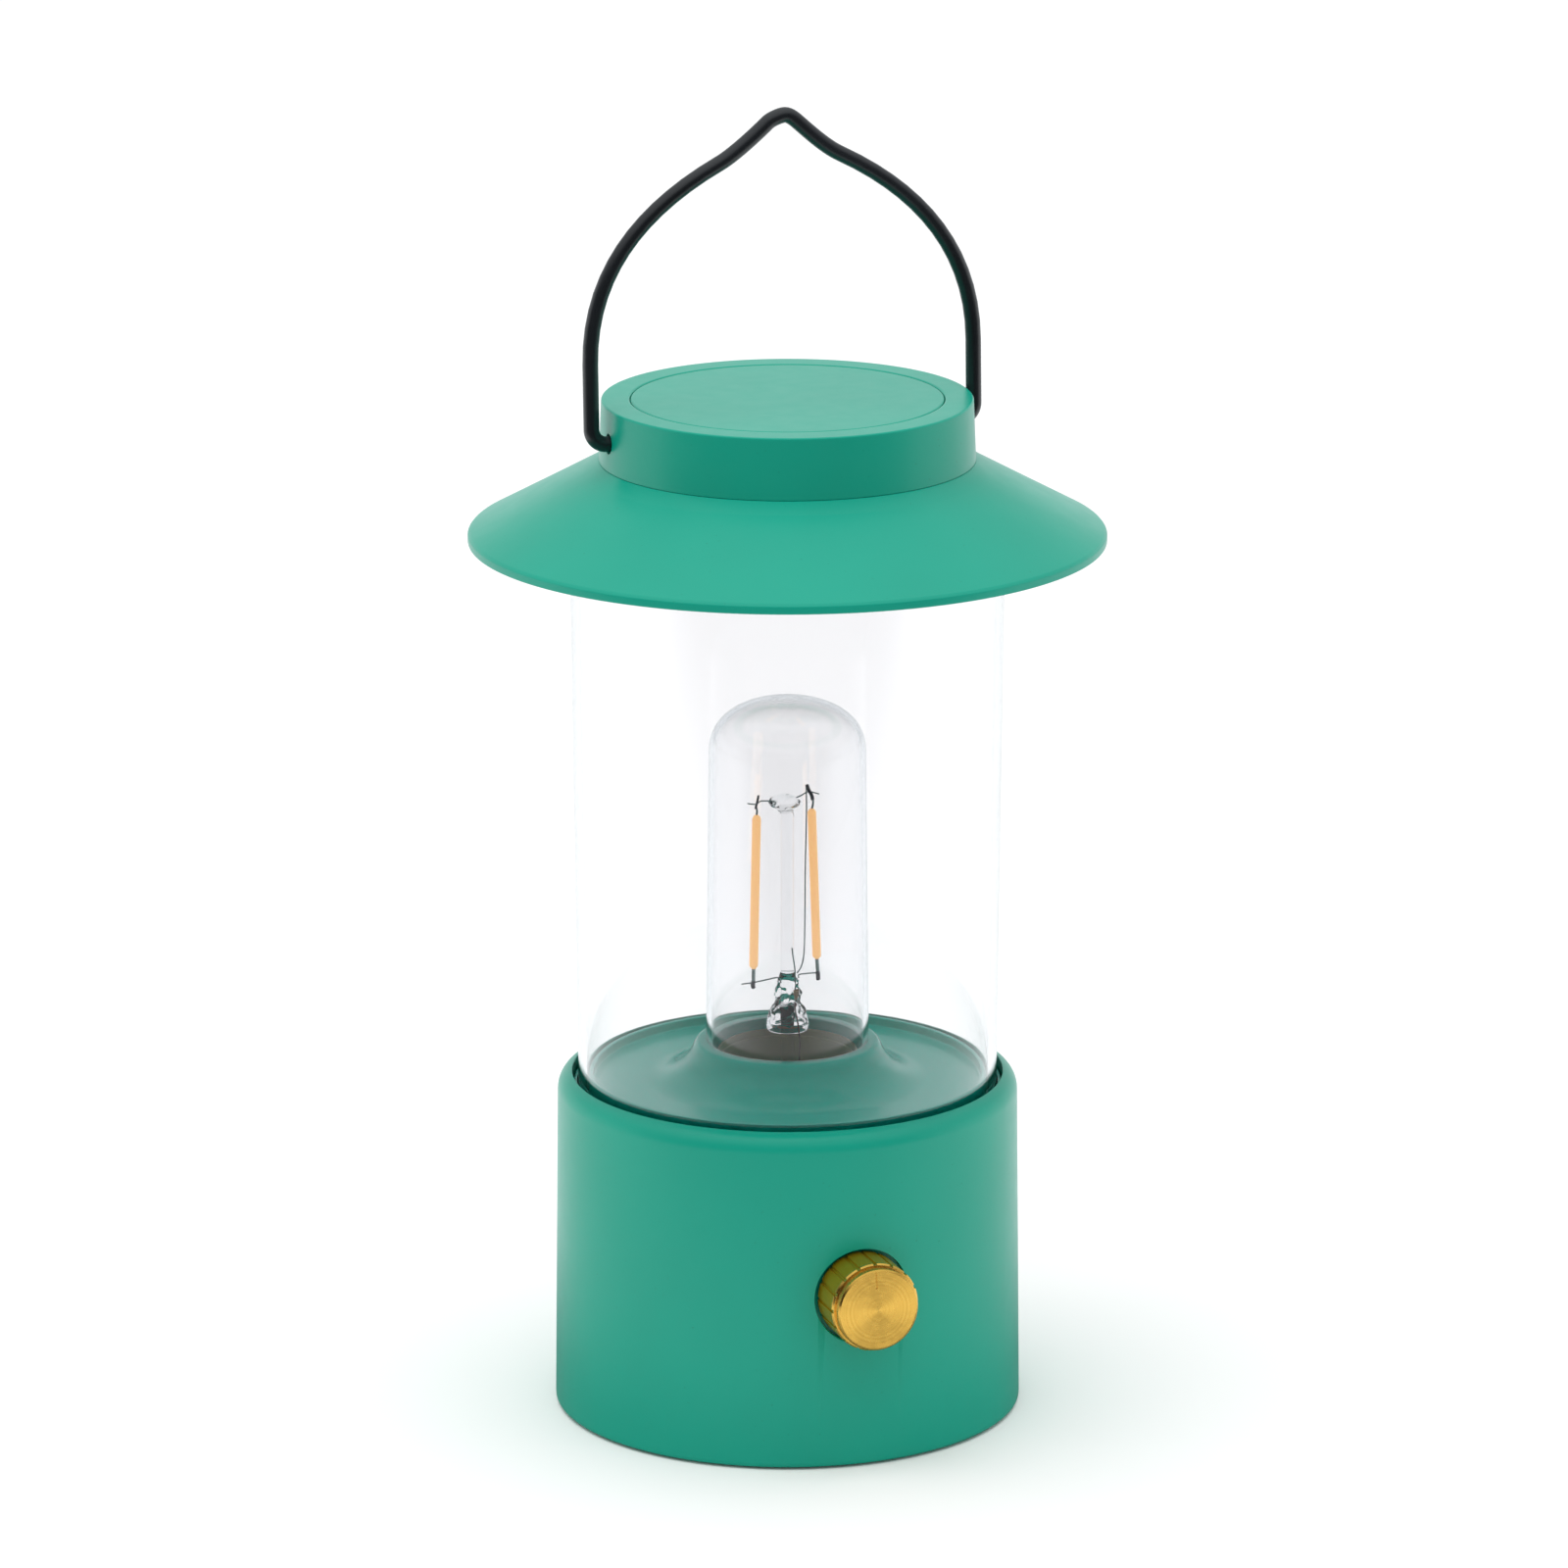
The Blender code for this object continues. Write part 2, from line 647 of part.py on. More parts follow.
def build_dimmer(steel, brass):
    body_front = PAD_Y - 0.1
    profile = [
        (0, -4.5),
        (SHAFT_R + 0.05, -4.5),
        (SHAFT_R + 0.05, 6.6),
        (BUSHING_R, 6.6),
        (BUSHING_R, 0),
        (8.25, 0),
        (8.25, -7.2),
        (0, -7.2),
    ]
    body = lathe("pot_body", profile, steel, 32)
    place(body, (0, -body_front, KNOB_Z), (90, 0, 0))
    tail_front = -body_front + 5.6
    tail = box("pot_tail", (-5, tail_front, KNOB_Z - 13), (5, tail_front + 1, KNOB_Z - 6), brass)
    boolean(body, tail, "UNION")
    shaft_end = KNOB_FACE_Y - 2.2
    shaft_start = body_front - 4.3
    length = shaft_end - shaft_start
    rod("pot_shaft", SHAFT_R, length, brass, (0, -shaft_start, KNOB_Z), (90, 0, 0), 24)
    ring = [(BUSHING_R + 0.05, 0), (6.0, 0), (6.0, 0.5), (BUSHING_R + 0.05, 0.5)]
    place(lathe("pot_washer", ring, steel, 24), (0, -POCKET_Y - 0.05, KNOB_Z), (90, 0, 0))
    nut_y = -POCKET_Y - 0.6
    nut = rod("pot_nut", 5.6, 2.0, steel, (0, nut_y, KNOB_Z), (90, 0, 0), 6)
    bore_at = (0, nut_y + 1, KNOB_Z)
    bore = rod("nut_bore", BUSHING_R + 0.08, 4, steel, bore_at, (90, 0, 0), 32)
    boolean(nut, bore, "DIFFERENCE")


def build_bottom_cover(green):
    profile = [
        (0, COVER_BOTTOM_Z),
        (COVER_R, COVER_BOTTOM_Z),
        (COVER_R, COVER_TOP_Z),
        (0, COVER_TOP_Z),
    ]
    cover = lathe("bottom_cover", profile, green)
    outer_x, outer_y = BAY_HALF_X + BAY_WALL, BAY_HALF_Y + BAY_WALL
    roof_z = BAY_TOP_Z + BAY_WALL
    bay = box("cover_bay", (-outer_x, -outer_y, COVER_TOP_Z - 1), (outer_x, outer_y, roof_z), green)
    boolean(cover, bay, "UNION")
    for number, (x, y) in enumerate(corner_points(), 1):
        length = SCREW_JOINT_Z - COVER_BOTTOM_Z - 1
        start = (x, y, COVER_BOTTOM_Z + 1)
        pillar = rod(f"cover_pillar_{number}", 4.2, length, green, start, HELPER_TURN)
        boolean(cover, pillar, "UNION")
    for side in (-1, 1):
        post = lathe(
            f"cover_board_post_{side + 2}",
            [(0, 0), (2.4, 0), (2.4, 2.6), (1.2, 2.6), (1.2, 5.2), (0, 5.2)],
            green,
            12,
        )
        place(post, (side * BOARD_PIN_X, BOARD_Y, BOARD_BOTTOM_Z - 2.7))
        boolean(cover, post, "UNION")
    corner = (BAY_HALF_X, BAY_HALF_Y, BAY_TOP_Z)
    cavity = box("cover_cavity", (-BAY_HALF_X, -BAY_HALF_Y, -1), corner, green)
    boolean(cover, cavity, "DIFFERENCE")
    rebate_x, rebate_y = DOOR_HALF_X + GAP, DOOR_HALF_Y + GAP
    rebate_z = COVER_BOTTOM_Z + DOOR_THICK + 0.2
    rebate = box("cover_rebate", (-rebate_x, -rebate_y, -1), (rebate_x, rebate_y, rebate_z), green)
    boolean(cover, rebate, "DIFFERENCE")
    for number, (x, y) in enumerate(corner_points(), 1):
        for name, radius, top in (
            (f"cover_deep_bore_{number}", SCREW_HEAD_R + 0.3, SCREW_JOINT_Z - 2.5),
            (f"cover_bore_{number}", SCREW_R + 0.2, SCREW_JOINT_Z + 1.5),
        ):
            bore = rod(name, radius, top + 1, green, (x, y, -1), HELPER_TURN)
            boolean(cover, bore, "DIFFERENCE")
    low = (-DOOR_HALF_X, -DOOR_HALF_Y, COVER_BOTTOM_Z)
    high = (DOOR_HALF_X, DOOR_HALF_Y, COVER_BOTTOM_Z + DOOR_THICK)
    door = box("battery_door", low, high, green)
    scoop_at = (DOOR_HALF_X - 6, 8, COVER_BOTTOM_Z - 7.2)
    scoop = rod("door_scoop", 8, 16, green, scoop_at, (90, 0, 0), 32)
    boolean(door, scoop, "DIFFERENCE")


def build_fixings_and_feet(steel, rubber):
    for number, (x, y) in enumerate(corner_points(), 1):
        fixing = screw(f"base_screw_{number}", SCREW_HEAD_R, 1.9, SCREW_R, 11.0, steel)
        place(fixing, (x, y, SCREW_JOINT_Z - 4.5))
    foot = [(0, 0), (3.6, 0), (4.0, 0.4), (4.0, COVER_BOTTOM_Z - 0.02), (0, COVER_BOTTOM_Z - 0.02)]
    for number, (x, y) in enumerate(((36, 0), (0, 34), (-36, 0), (0, -34)), 1):
        place(lathe(f"rubber_foot_{number}", foot, rubber, 20), (x, y, 0))


def build_cells(gold, steel):
    cell = [
        (0, 0),
        (5.6, 0),
        (CELL_R, 0.5),
        (CELL_R, CELL_LENGTH - 1.7),
        (6.5, CELL_LENGTH - 1.1),
        (2.75, CELL_LENGTH - 1.1),
        (2.6, CELL_LENGTH),
        (0, CELL_LENGTH),
    ]
    plate_x = BAY_HALF_X - 0.2 - CONTACT_THICK
    tip_x = plate_x - GAP
    tail_x = CELL_LENGTH - tip_x
    spring_length = plate_x - tail_x
    for number, (y, side) in enumerate(((-CELL_PITCH, 1), (0, -1), (CELL_PITCH, 1)), 1):
        body = lathe(f"battery_cell_{number}", cell, gold, 24)
        place(body, (-side * tail_x, y, CELL_Z), (0, 90 * side, 0))
        turns, start = 3, 0.35
        coil = []
        for step in range(turns * 6 + 1):
            turn = math.radians(60 * step)
            radius = 4.6 - 1.8 * step / (turns * 6)
            along = start + (spring_length - 2 * start) * step / (turns * 6)
            across = (y + radius * math.cos(turn), CELL_Z + radius * math.sin(turn))
            coil.append((side * (along - plate_x), *across))
        bend_wire(f"contact_spring_{number}", coil, 0.3, steel, 0, 2)
    plates = (
        (1, -CELL_PITCH, 5),
        (1, CELL_PITCH / 2, 12.3),
        (-1, -CELL_PITCH / 2, 12.3),
        (-1, CELL_PITCH, 5),
    )
    for number, (side, y, half) in enumerate(plates, 1):
        near, far = sorted((side * plate_x, side * (plate_x + CONTACT_THICK)))
        box(f"contact_plate_{number}", (near, y - half, CELL_Z - 6), (far, y + half, CELL_Z + 6), steel)


def build_driver(board_green, black, steel):
    half_x, half_y = BOARD_SIZE[0] / 2, BOARD_SIZE[1] / 2
    top = BOARD_BOTTOM_Z + BOARD_THICK
    low = (-half_x, BOARD_Y - half_y, BOARD_BOTTOM_Z)
    board = box("driver_board", low, (half_x, BOARD_Y + half_y, top), board_green)
    for side in (-1, 1):
        start = (side * BOARD_PIN_X, BOARD_Y, BOARD_BOTTOM_Z - 1)
        hole = rod(f"board_hole_{side + 2}", 1.4, 4, black, start)
        boolean(board, hole, "DIFFERENCE")
    seat = top + 0.05
    box("driver_chip", (-8, 2, seat), (-3, 8, seat + 1.5), black)
    rod("driver_inductor", 4, 4.5, black, (3, 9, seat), steps=20)
    rod("driver_capacitor", 3.15, 8, steel, (6, -2, seat), steps=20)


def build_cables(red, black):
    seat = BOARD_BOTTOM_Z + BOARD_THICK + 0.7
    roof = BAY_TOP_Z + BAY_WALL + 0.7
    red_feed = [(29.5, -14, roof + 0.3), (24, -8, roof + 1.5), (18.9, -3, roof + 3), (15.6, -2, seat)]
    black_feed = [(-29.5, 14, roof + 0.3), (-25, 18, roof + 1.5), (-19, 13.5, roof + 4)]
    cables = {
        "battery_wire_red": (red, red_feed),
        "battery_wire_black": (black, black_feed + [(-14, 12, seat)]),
        "lamp_wire_red": (red, [(-2, 12, seat), (-3, 15, 35), (-0.8, 4, 48), (-0.75, 0, 56.5)]),
        "lamp_wire_black": (black, [(-10, -3, seat), (-8, -7, 34), (0.6, -4, 48), (0.75, 0, 56.5)]),
        "pot_cable": (
            black,
            [(0, -30.6, KNOB_Z - 11.5), (1, -26, 21.6), (3, -14, 22.5), (1, -6.2, seat)],
        ),
    }
    for name, (material, path) in cables.items():
        bend_wire(name, path, 0.6, material, 0, 4)


def main():
    clear_scene()
    green = make_material("green_plastic", GREEN, 0.45)
    gold = make_material("gold_aluminium", GOLD, 0.28, 1.0)
    black = make_material("black_enamel", BLACK, 0.25)
    clear = make_material("clear_plastic", CLEAR, 0.03, 0.0, 1.0)
    glass = make_material("lamp_glass", CLEAR, 0.02, 0.0, 1.0)
    soft = make_material("clear_silicone", CLEAR, 0.4, 0.0, 0.6)
    white = make_material("white_plastic", WHITE, 0.4)
    steel = make_material("plated_steel", STEEL, 0.3, 1.0)
    brass = make_material("brass", BRASS, 0.3, 1.0)
    olive = make_material("dull_zinc", OLIVE, 0.5, 0.7)
    amber = make_material("phosphor", AMBER, 0.6)
    board_green = make_material("board_laminate", BOARD_GREEN, 0.4)
    rubber = make_material("black_rubber", RUBBER, 0.8)
    red = make_material("red_insulation", RED, 0.4)
    cell_gold = make_material("cell_sleeve", BRASS, 0.3, 0.6)
    build_base_shell(green)
    build_tray(green)
    build_chimney(clear, soft)
    build_shade(green, white, steel)
    build_cap(green)
    build_handle(black)
    build_dome(clear)
    build_lamp(glass, amber, steel, olive, white)
    build_knob(gold, steel)
    build_dimmer(steel, brass)
    build_bottom_cover(green)
    build_fixings_and_feet(steel, rubber)
    build_cells(cell_gold, steel)
    build_driver(board_green, black, steel)
    build_cables(red, black)


main()
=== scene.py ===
"""Looks of the camping lantern: fine meshes, materials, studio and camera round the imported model.

Lengths are in millimetres until MM turns them into metres. Turned pieces are lathed about Z from
(radius, height) profiles, where a third number rounds that corner with its radius.
"""

import json
import math

import bmesh
import bpy
from mathutils import Matrix, Vector, noise


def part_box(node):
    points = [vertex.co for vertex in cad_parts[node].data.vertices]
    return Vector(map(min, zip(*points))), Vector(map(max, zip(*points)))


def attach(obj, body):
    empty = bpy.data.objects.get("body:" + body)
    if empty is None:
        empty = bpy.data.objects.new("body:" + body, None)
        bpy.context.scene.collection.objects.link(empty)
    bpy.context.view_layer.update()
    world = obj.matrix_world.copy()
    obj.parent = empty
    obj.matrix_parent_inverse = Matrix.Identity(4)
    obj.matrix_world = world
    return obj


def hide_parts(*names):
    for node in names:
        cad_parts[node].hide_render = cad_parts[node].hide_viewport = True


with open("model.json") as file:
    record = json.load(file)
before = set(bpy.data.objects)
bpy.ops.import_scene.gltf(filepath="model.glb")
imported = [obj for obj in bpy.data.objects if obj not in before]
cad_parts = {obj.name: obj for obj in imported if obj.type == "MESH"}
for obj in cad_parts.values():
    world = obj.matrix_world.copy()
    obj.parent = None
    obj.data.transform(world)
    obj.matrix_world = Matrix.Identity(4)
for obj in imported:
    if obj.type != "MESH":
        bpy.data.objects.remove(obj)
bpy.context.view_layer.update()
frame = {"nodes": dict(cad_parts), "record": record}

MM = 0.001
FINE = 192  # segments round a large turned piece
TINY = 1e-6  # a radius below this is on the axis


def node_box(name):
    """Lowest and highest corner of a CAD node, in millimetres."""
    low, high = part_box(name)
    return low / MM, high / MM


def joint_point(name):
    for joint in frame["record"]["behaviour"]["joints"]:
        if joint["name"] == name:
            return Vector(joint["pos_m"]) / MM
    raise ValueError(name)


# ---------------------------------------------------------------- sizes from the frame
SHELL_LOW, SHELL_HIGH = node_box("base_shell")
TRAY_LOW, TRAY_HIGH = node_box("tray")
TUBE_LOW, TUBE_HIGH = node_box("chimney")
SHADE_LOW, SHADE_HIGH = node_box("shade")
CAP_LOW, CAP_HIGH = node_box("top_cap")
DISC_LOW, DISC_HIGH = node_box("cap_disc")
DOME_LOW, DOME_HIGH = node_box("bulb_dome")
STEM_LOW, STEM_HIGH = node_box("glass_stem")
KNOB_LOW, KNOB_HIGH = node_box("knob")
PIVOT = joint_point("handle_swing")
KNOB_PIVOT = joint_point("knob_turn")
GRIP_END = KNOB_HIGH.y - KNOB_LOW.y - 2.75  # along the knob, from its back to the front lip

WALL = 2.8  # base shell
WIRE_R = 1.48  # handle
DECK_Z = 64.0  # flat floor of the tray
DECK_R = 36.95
LAMP_TURN = math.radians(16.0)  # turn of the plane that holds both filaments


# ---------------------------------------------------------------- mesh helpers
def arc(centre, radius, start, end, steps):
    """Points along a circular arc, angles in degrees."""
    points = []
    for step in range(steps + 1):
        angle = math.radians(start + (end - start) * step / steps)
        points.append((centre[0] + radius * math.cos(angle), centre[1] + radius * math.sin(angle)))
    return points


def rounded(corners, steps=5):
    """A profile with every (radius, height, fillet) corner turned into an arc."""
    points = []
    count = len(corners)
    for index, corner in enumerate(corners):
        here = Vector(corner[:2])
        before = Vector(corners[index - 1][:2])
        after = Vector(corners[(index + 1) % count][:2])
        fillet = corner[2] if len(corner) > 2 else 0
        into, out = (before - here), (after - here)
        turn = into.angle(out, math.pi) if into.length and out.length else math.pi
        if fillet <= 0 or turn > math.radians(177):
            points.append(tuple(here))
            continue
        reach = min(fillet / math.tan(turn / 2), 0.48 * into.length, 0.48 * out.length)
        start, end = here + into.normalized() * reach, here + out.normalized() * reach
        for step in range(steps + 1):
            t = step / steps
            points.append(tuple((1 - t) ** 2 * start + 2 * t * (1 - t) * here + t**2 * end))
    return points


def guarded(points, margin=0.25):
    """Adds a point near both ends of every long run, so that its middle shades truly straight."""
    result = []
    closed = points[0][0] > TINY
    for index, point in enumerate(points):
        result.append(point)
        if index == len(points) - 1 and not closed:
            break
        here, after = Vector(point), Vector(points[(index + 1) % len(points)])
        if (after - here).length > 4 * margin:
            step = (after - here).normalized() * margin
            result += [tuple(here + step), tuple(after - step)]
    return result


def split_runs(points, longest):
    """Splits every run of an open profile into pieces no longer than longest."""
    result = [points[0]]
    for here, after in zip(points, points[1:]):
        start, end = Vector(here), Vector(after)
        pieces = max(1, math.ceil((end - start).length / longest))
        result += [tuple(start.lerp(end, piece / pieces)) for piece in range(1, pieces + 1)]
    return result


def finish_mesh(name, bm, sharp=35):
    """Turns bm into a smooth mesh whose edges above sharp degrees stay crisp."""
    bmesh.ops.recalc_face_normals(bm, faces=bm.faces)
    mesh = bpy.data.meshes.new(name)
    bm.to_mesh(mesh)
    bm.free()
    mesh.shade_smooth()
    mesh.set_sharp_from_angle(angle=math.radians(sharp))
    return mesh


def add_piece(name, data, material, body="lantern", stands_for=()):
    """Shows a mesh as one piece on a body, in place of the CAD nodes it stands for."""
    data.materials.clear()
    data.materials.append(material)
    piece = bpy.data.objects.new(name, data)
    bpy.context.scene.collection.objects.link(piece)
    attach(piece, body)
    if stands_for:
        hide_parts(*stands_for)
    return piece


def lathe_bm(profile, segments=FINE, shape=None):
    """A closed turned body. shape(point, angle) may move a point, in millimetres."""
    bm = bmesh.new()
    rings = []
    for radius, height in profile:
        ring = []
        if radius < TINY:
            ring = [bm.verts.new(Vector((0, 0, height)) * MM)] * segments
        else:
            for index in range(segments):
                angle = math.tau * index / segments
                point = Vector((radius * math.cos(angle), radius * math.sin(angle), height))
                ring.append(bm.verts.new((shape(point, angle) if shape else point) * MM))
        rings.append(ring)
    closed = profile[0][0] > TINY
    pairs = list(zip(rings, rings[1:])) + ([(rings[-1], rings[0])] if closed else [])
    for low, high in pairs:
        for index in range(segments):
            after = (index + 1) % segments
            corners = [low[index], low[after], high[after], high[index]]
            corners = [c for place, c in enumerate(corners) if c not in corners[:place]]
            if len(corners) > 2:
                bm.faces.new(corners)
    return bm


def lathe(name, profile, material, stands_for=(), segments=FINE):
    """A turned piece that rides the lantern body."""
    mesh = finish_mesh(name, lathe_bm(guarded(rounded(profile)), segments))
    return add_piece(name, mesh, material, stands_for=stands_for)


def cutter(profile, at, turn, segments=96, shape=None):
    """A hidden turned body, placed and turned (degrees), for one Boolean."""
    mesh = finish_mesh("cutter", lathe_bm(rounded(profile), segments, shape))
    helper = bpy.data.objects.new("cutter", mesh)
    bpy.context.scene.collection.objects.link(helper)
    helper.location = Vector(at) * MM
    helper.rotation_euler = [math.radians(value) for value in turn]
    return helper


def carve(piece, helper, operation="DIFFERENCE", sharp=35):
    """Applies one Boolean and removes its helper."""
    modifier = piece.modifiers.new("carve", "BOOLEAN")
    modifier.operation = operation
    modifier.object = helper
    bpy.context.view_layer.update()
    graph = bpy.context.evaluated_depsgraph_get()
    mesh = bpy.data.meshes.new_from_object(piece.evaluated_get(graph), depsgraph=graph)
    piece.modifiers.clear()
    material = piece.data.materials[0]
    piece.data = mesh
    mesh.materials.clear()
    mesh.materials.append(material)
    mesh.shade_smooth()
    mesh.set_sharp_from_angle(angle=math.radians(sharp))
    bpy.data.objects.remove(helper, do_unlink=True)


def bezier_points(knots, steps):
    """Points along a run of cubic curves. A knot is (point, back handle, forward handle)."""
    points = []
    for (start, _, lead), (end, back, _) in zip(knots, knots[1:]):
        a, b, c, d = start, start + lead, end + back, end
        for step in range(steps):
            t = step / steps
            points.append(
                (1 - t) ** 3 * a + 3 * t * (1 - t) ** 2 * b + 3 * t**2 * (1 - t) * c + t**3 * d
            )
    points.append(knots[-1][0])
    return points


def smooth_path(points, steps):
    """A Catmull-Rom path through points."""
    points = [Vector(point) for point in points]
    knots = []
    for index, point in enumerate(points):
        before = points[max(index - 1, 0)]
        after = points[min(index + 1, len(points) - 1)]
        slope = (after - before) / 6
        knots.append((point, -slope, slope))
    return bezier_points(knots, steps)


def tube_bm(path, radius, sides, squeeze=None):
    """A round wire along path with pointed ends. radius may be a function of the share along it;
    squeeze(offset) may reshape its section."""
    bm = bmesh.new()
    size = radius if callable(radius) else lambda share: radius
    count = len(path)
    tangent = (path[1] - path[0]).normalized()
    side = tangent.orthogonal().normalized()
    rings = []
    for index, point in enumerate(path):
        ahead = path[min(index + 1, count - 1)] - path[max(index - 1, 0)]
        ahead.normalize()
        side = (side - side.dot(ahead) * ahead).normalized()
        up = ahead.cross(side)
        share = index / (count - 1)
        ring = []
        for corner in range(sides):
            angle = math.tau * corner / sides
            offset = (side * math.cos(angle) + up * math.sin(angle)) * size(share)
            if squeeze:
                offset = squeeze(offset)
            ring.append(bm.verts.new((point + offset) * MM))
        rings.append(ring)
    for low, high in zip(rings, rings[1:]):
        for corner in range(sides):
            after = (corner + 1) % sides
            bm.faces.new((low[corner], low[after], high[after], high[corner]))
    for ring, point, way in ((rings[0], path[0], -1), (rings[-1], path[-1], 1)):
        end = path[1] - path[0] if way < 0 else path[-1] - path[-2]
        tip = point + end.normalized() * way * size(0 if way < 0 else 1) * 0.35
        centre = bm.verts.new(tip * MM)
        for corner in range(sides):
            bm.faces.new((ring[corner], ring[(corner + 1) % sides], centre))
    return bm


def lamp_point(offset, height, depth=0.0):
    """A point by its offset along the filaments' plane, its height and its depth behind it."""
    across = offset * math.cos(LAMP_TURN) - depth * math.sin(LAMP_TURN)
    behind = offset * math.sin(LAMP_TURN) + depth * math.cos(LAMP_TURN)
    return Vector((across, behind, height))


# ---------------------------------------------------------------- material helpers
class NodeTree:
    """Shorthand for adding and linking shader nodes."""

    def __init__(self, tree):
        self.tree = tree

    def node(self, kind, **settings):
        made = self.tree.nodes.new(kind)
        for key, value in settings.items():
            setattr(made, key, value)
        return made

    def link(self, output, target):
        self.tree.links.new(output, target)

    def span(self, value, low, high, source_low=0.3, source_high=0.7):
        """Maps the source range to low and high; the default range is where most noise falls."""
        made = self.node("ShaderNodeMapRange")
        made.inputs["From Min"].default_value = source_low
        made.inputs["From Max"].default_value = source_high
        made.inputs["To Min"].default_value = low
        made.inputs["To Max"].default_value = high
        self.link(value, made.inputs["Value"])
        return made.outputs["Result"]

    def maths(self, operation, first, second):
        """One maths step on two inputs, each a number or a socket."""
        made = self.node("ShaderNodeMath", operation=operation)
        for socket, value in zip(made.inputs, (first, second)):
            if isinstance(value, (int, float)):
                socket.default_value = value
            else:
                self.link(value, socket)
        return made.outputs["Value"]

    def mix(self, factor, first, second):
        """Colour between two colours, each a triple or a socket."""
        made = self.node("ShaderNodeMix", data_type="RGBA")
        self.link(factor, made.inputs["Factor"])
        for socket, value in ((made.inputs[6], first), (made.inputs[7], second)):
            if isinstance(value, tuple):
                socket.default_value = (*value, 1.0)
            else:
                self.link(value, socket)
        return made.outputs[2]

    def split(self, vector):
        """The X, Y and Z sockets of a vector."""
        made = self.node("ShaderNodeSeparateXYZ")
        self.link(vector, made.inputs["Vector"])
        return made.outputs["X"], made.outputs["Y"], made.outputs["Z"]


class Look(NodeTree):
    """One node material under construction, around its Principled shader."""

    def __init__(self, name, colour, roughness, metallic=0.0):
        self.material = bpy.data.materials.new(name)
        self.material.use_nodes = True
        super().__init__(self.material.node_tree)
        self.shader = self.tree.nodes["Principled BSDF"]
        self.place = self.node("ShaderNodeTexCoord").outputs["Object"]
        self.set("Base Color", (*colour, 1.0))
        self.set("Roughness", roughness)
        self.set("Metallic", metallic)
        self.material.diffuse_color = (*colour, 1.0)

    def set(self, name, value):
        self.shader.inputs[name].default_value = value

    def drive(self, name, socket):
        self.link(socket, self.shader.inputs[name])

    def stretched(self, factors):
        mapping = self.node("ShaderNodeMapping")
        mapping.inputs["Scale"].default_value = factors
        self.link(self.place, mapping.inputs["Vector"])
        return mapping.outputs["Vector"]

    def noise(self, size, detail=3.0, stretch=None):
        """Noise from 0 to 1 with features about size millimetres across."""
        made = self.node("ShaderNodeTexNoise")
        made.inputs["Scale"].default_value = 1 / (size * MM)
        made.inputs["Detail"].default_value = detail
        self.link(self.stretched(stretch) if stretch else self.place, made.inputs["Vector"])
        return made.outputs["Fac"]

    def relief(self, height, depth):
        """Adds bump of about depth millimetres."""
        made = self.node("ShaderNodeBump")
        made.inputs["Distance"].default_value = depth * MM
        made.inputs["Strength"].default_value = 1.0
        self.link(height, made.inputs["Height"])
        self.drive("Normal", made.outputs["Normal"])

    def radius_about_z(self):
        x, y, _ = self.split(self.place)
        square = self.maths("ADD", self.maths("MULTIPLY", x, x), self.maths("MULTIPLY", y, y))
        return self.maths("SQRT", square, 0.0)


def scaled(colour, factor):
    return tuple(min(1.0, channel * factor) for channel in colour)


def moulded(name, colour, roughness, grain=0.35, relief=0.012, spread=0.06):
    """Moulded plastic or rubber: faint flow shading, fine grain and uneven gloss."""
    look = Look(name, colour, roughness)
    flow = look.noise(28.0, 2.0)
    specks = look.noise(0.55, 1.0)
    base = look.mix(look.span(flow, 0.0, 1.0), scaled(colour, 1 - spread), scaled(colour, 1 + spread))
    dust = look.span(specks, 0.0, 1.0, 0.76, 0.80)
    look.drive("Base Color", look.mix(dust, base, scaled(colour, 0.75)))
    look.drive("Roughness", look.span(look.noise(4.0, 4.0), roughness - 0.015, roughness + 0.02))
    look.relief(look.noise(grain, 2.0), relief)
    return look


def metal(name, colour, roughness, size=0.6, spread=0.1):
    """Metal with fine marks."""
    look = Look(name, colour, roughness, 1.0)
    marks = look.noise(size, 4.0, (1, 1, 1))
    tone = look.mix(look.span(marks, 0.0, 1.0), scaled(colour, 1 - spread), scaled(colour, 1 + spread))
    look.drive("Base Color", tone)
    look.drive("Roughness", look.span(look.noise(size * 3, 3.0), roughness - 0.06, roughness + 0.08))
    look.relief(marks, 0.01)
    return look


# ---------------------------------------------------------------- materials
def make_green_gloss():
    """The tray under the chimney has a shinier finish than the outside."""
    look = moulded("green_gloss", (0.0, 0.352, 0.270), 0.22, grain=0.30, relief=0.001, spread=0.03)
    look.set("IOR", 1.42)
    return look.material


def make_green():
    """The satin green of every outside moulding."""
    look = moulded("green_plastic", (0.0, 0.335, 0.232), 0.31, grain=0.30, relief=0.003, spread=0.03)
    look.set("IOR", 1.44)
    return look.material


def make_clear(name, tint, roughness, waviness, ior=1.49):
    """Clear moulding or glass: faint tint, slight flow lines and a few dull patches."""
    look = Look(name, tint, roughness)
    look.set("Transmission Weight", 1.0)
    look.set("IOR", ior)
    look.drive("Roughness", look.span(look.noise(9.0, 3.0), roughness * 0.5, roughness * 1.6))
    look.drive("Base Color", look.mix(look.noise(40.0, 1.0), tint, scaled(tint, 0.995)))
    look.relief(look.noise(11.0, 1.0, (1, 1, 0.25)), waviness)
    return look.material


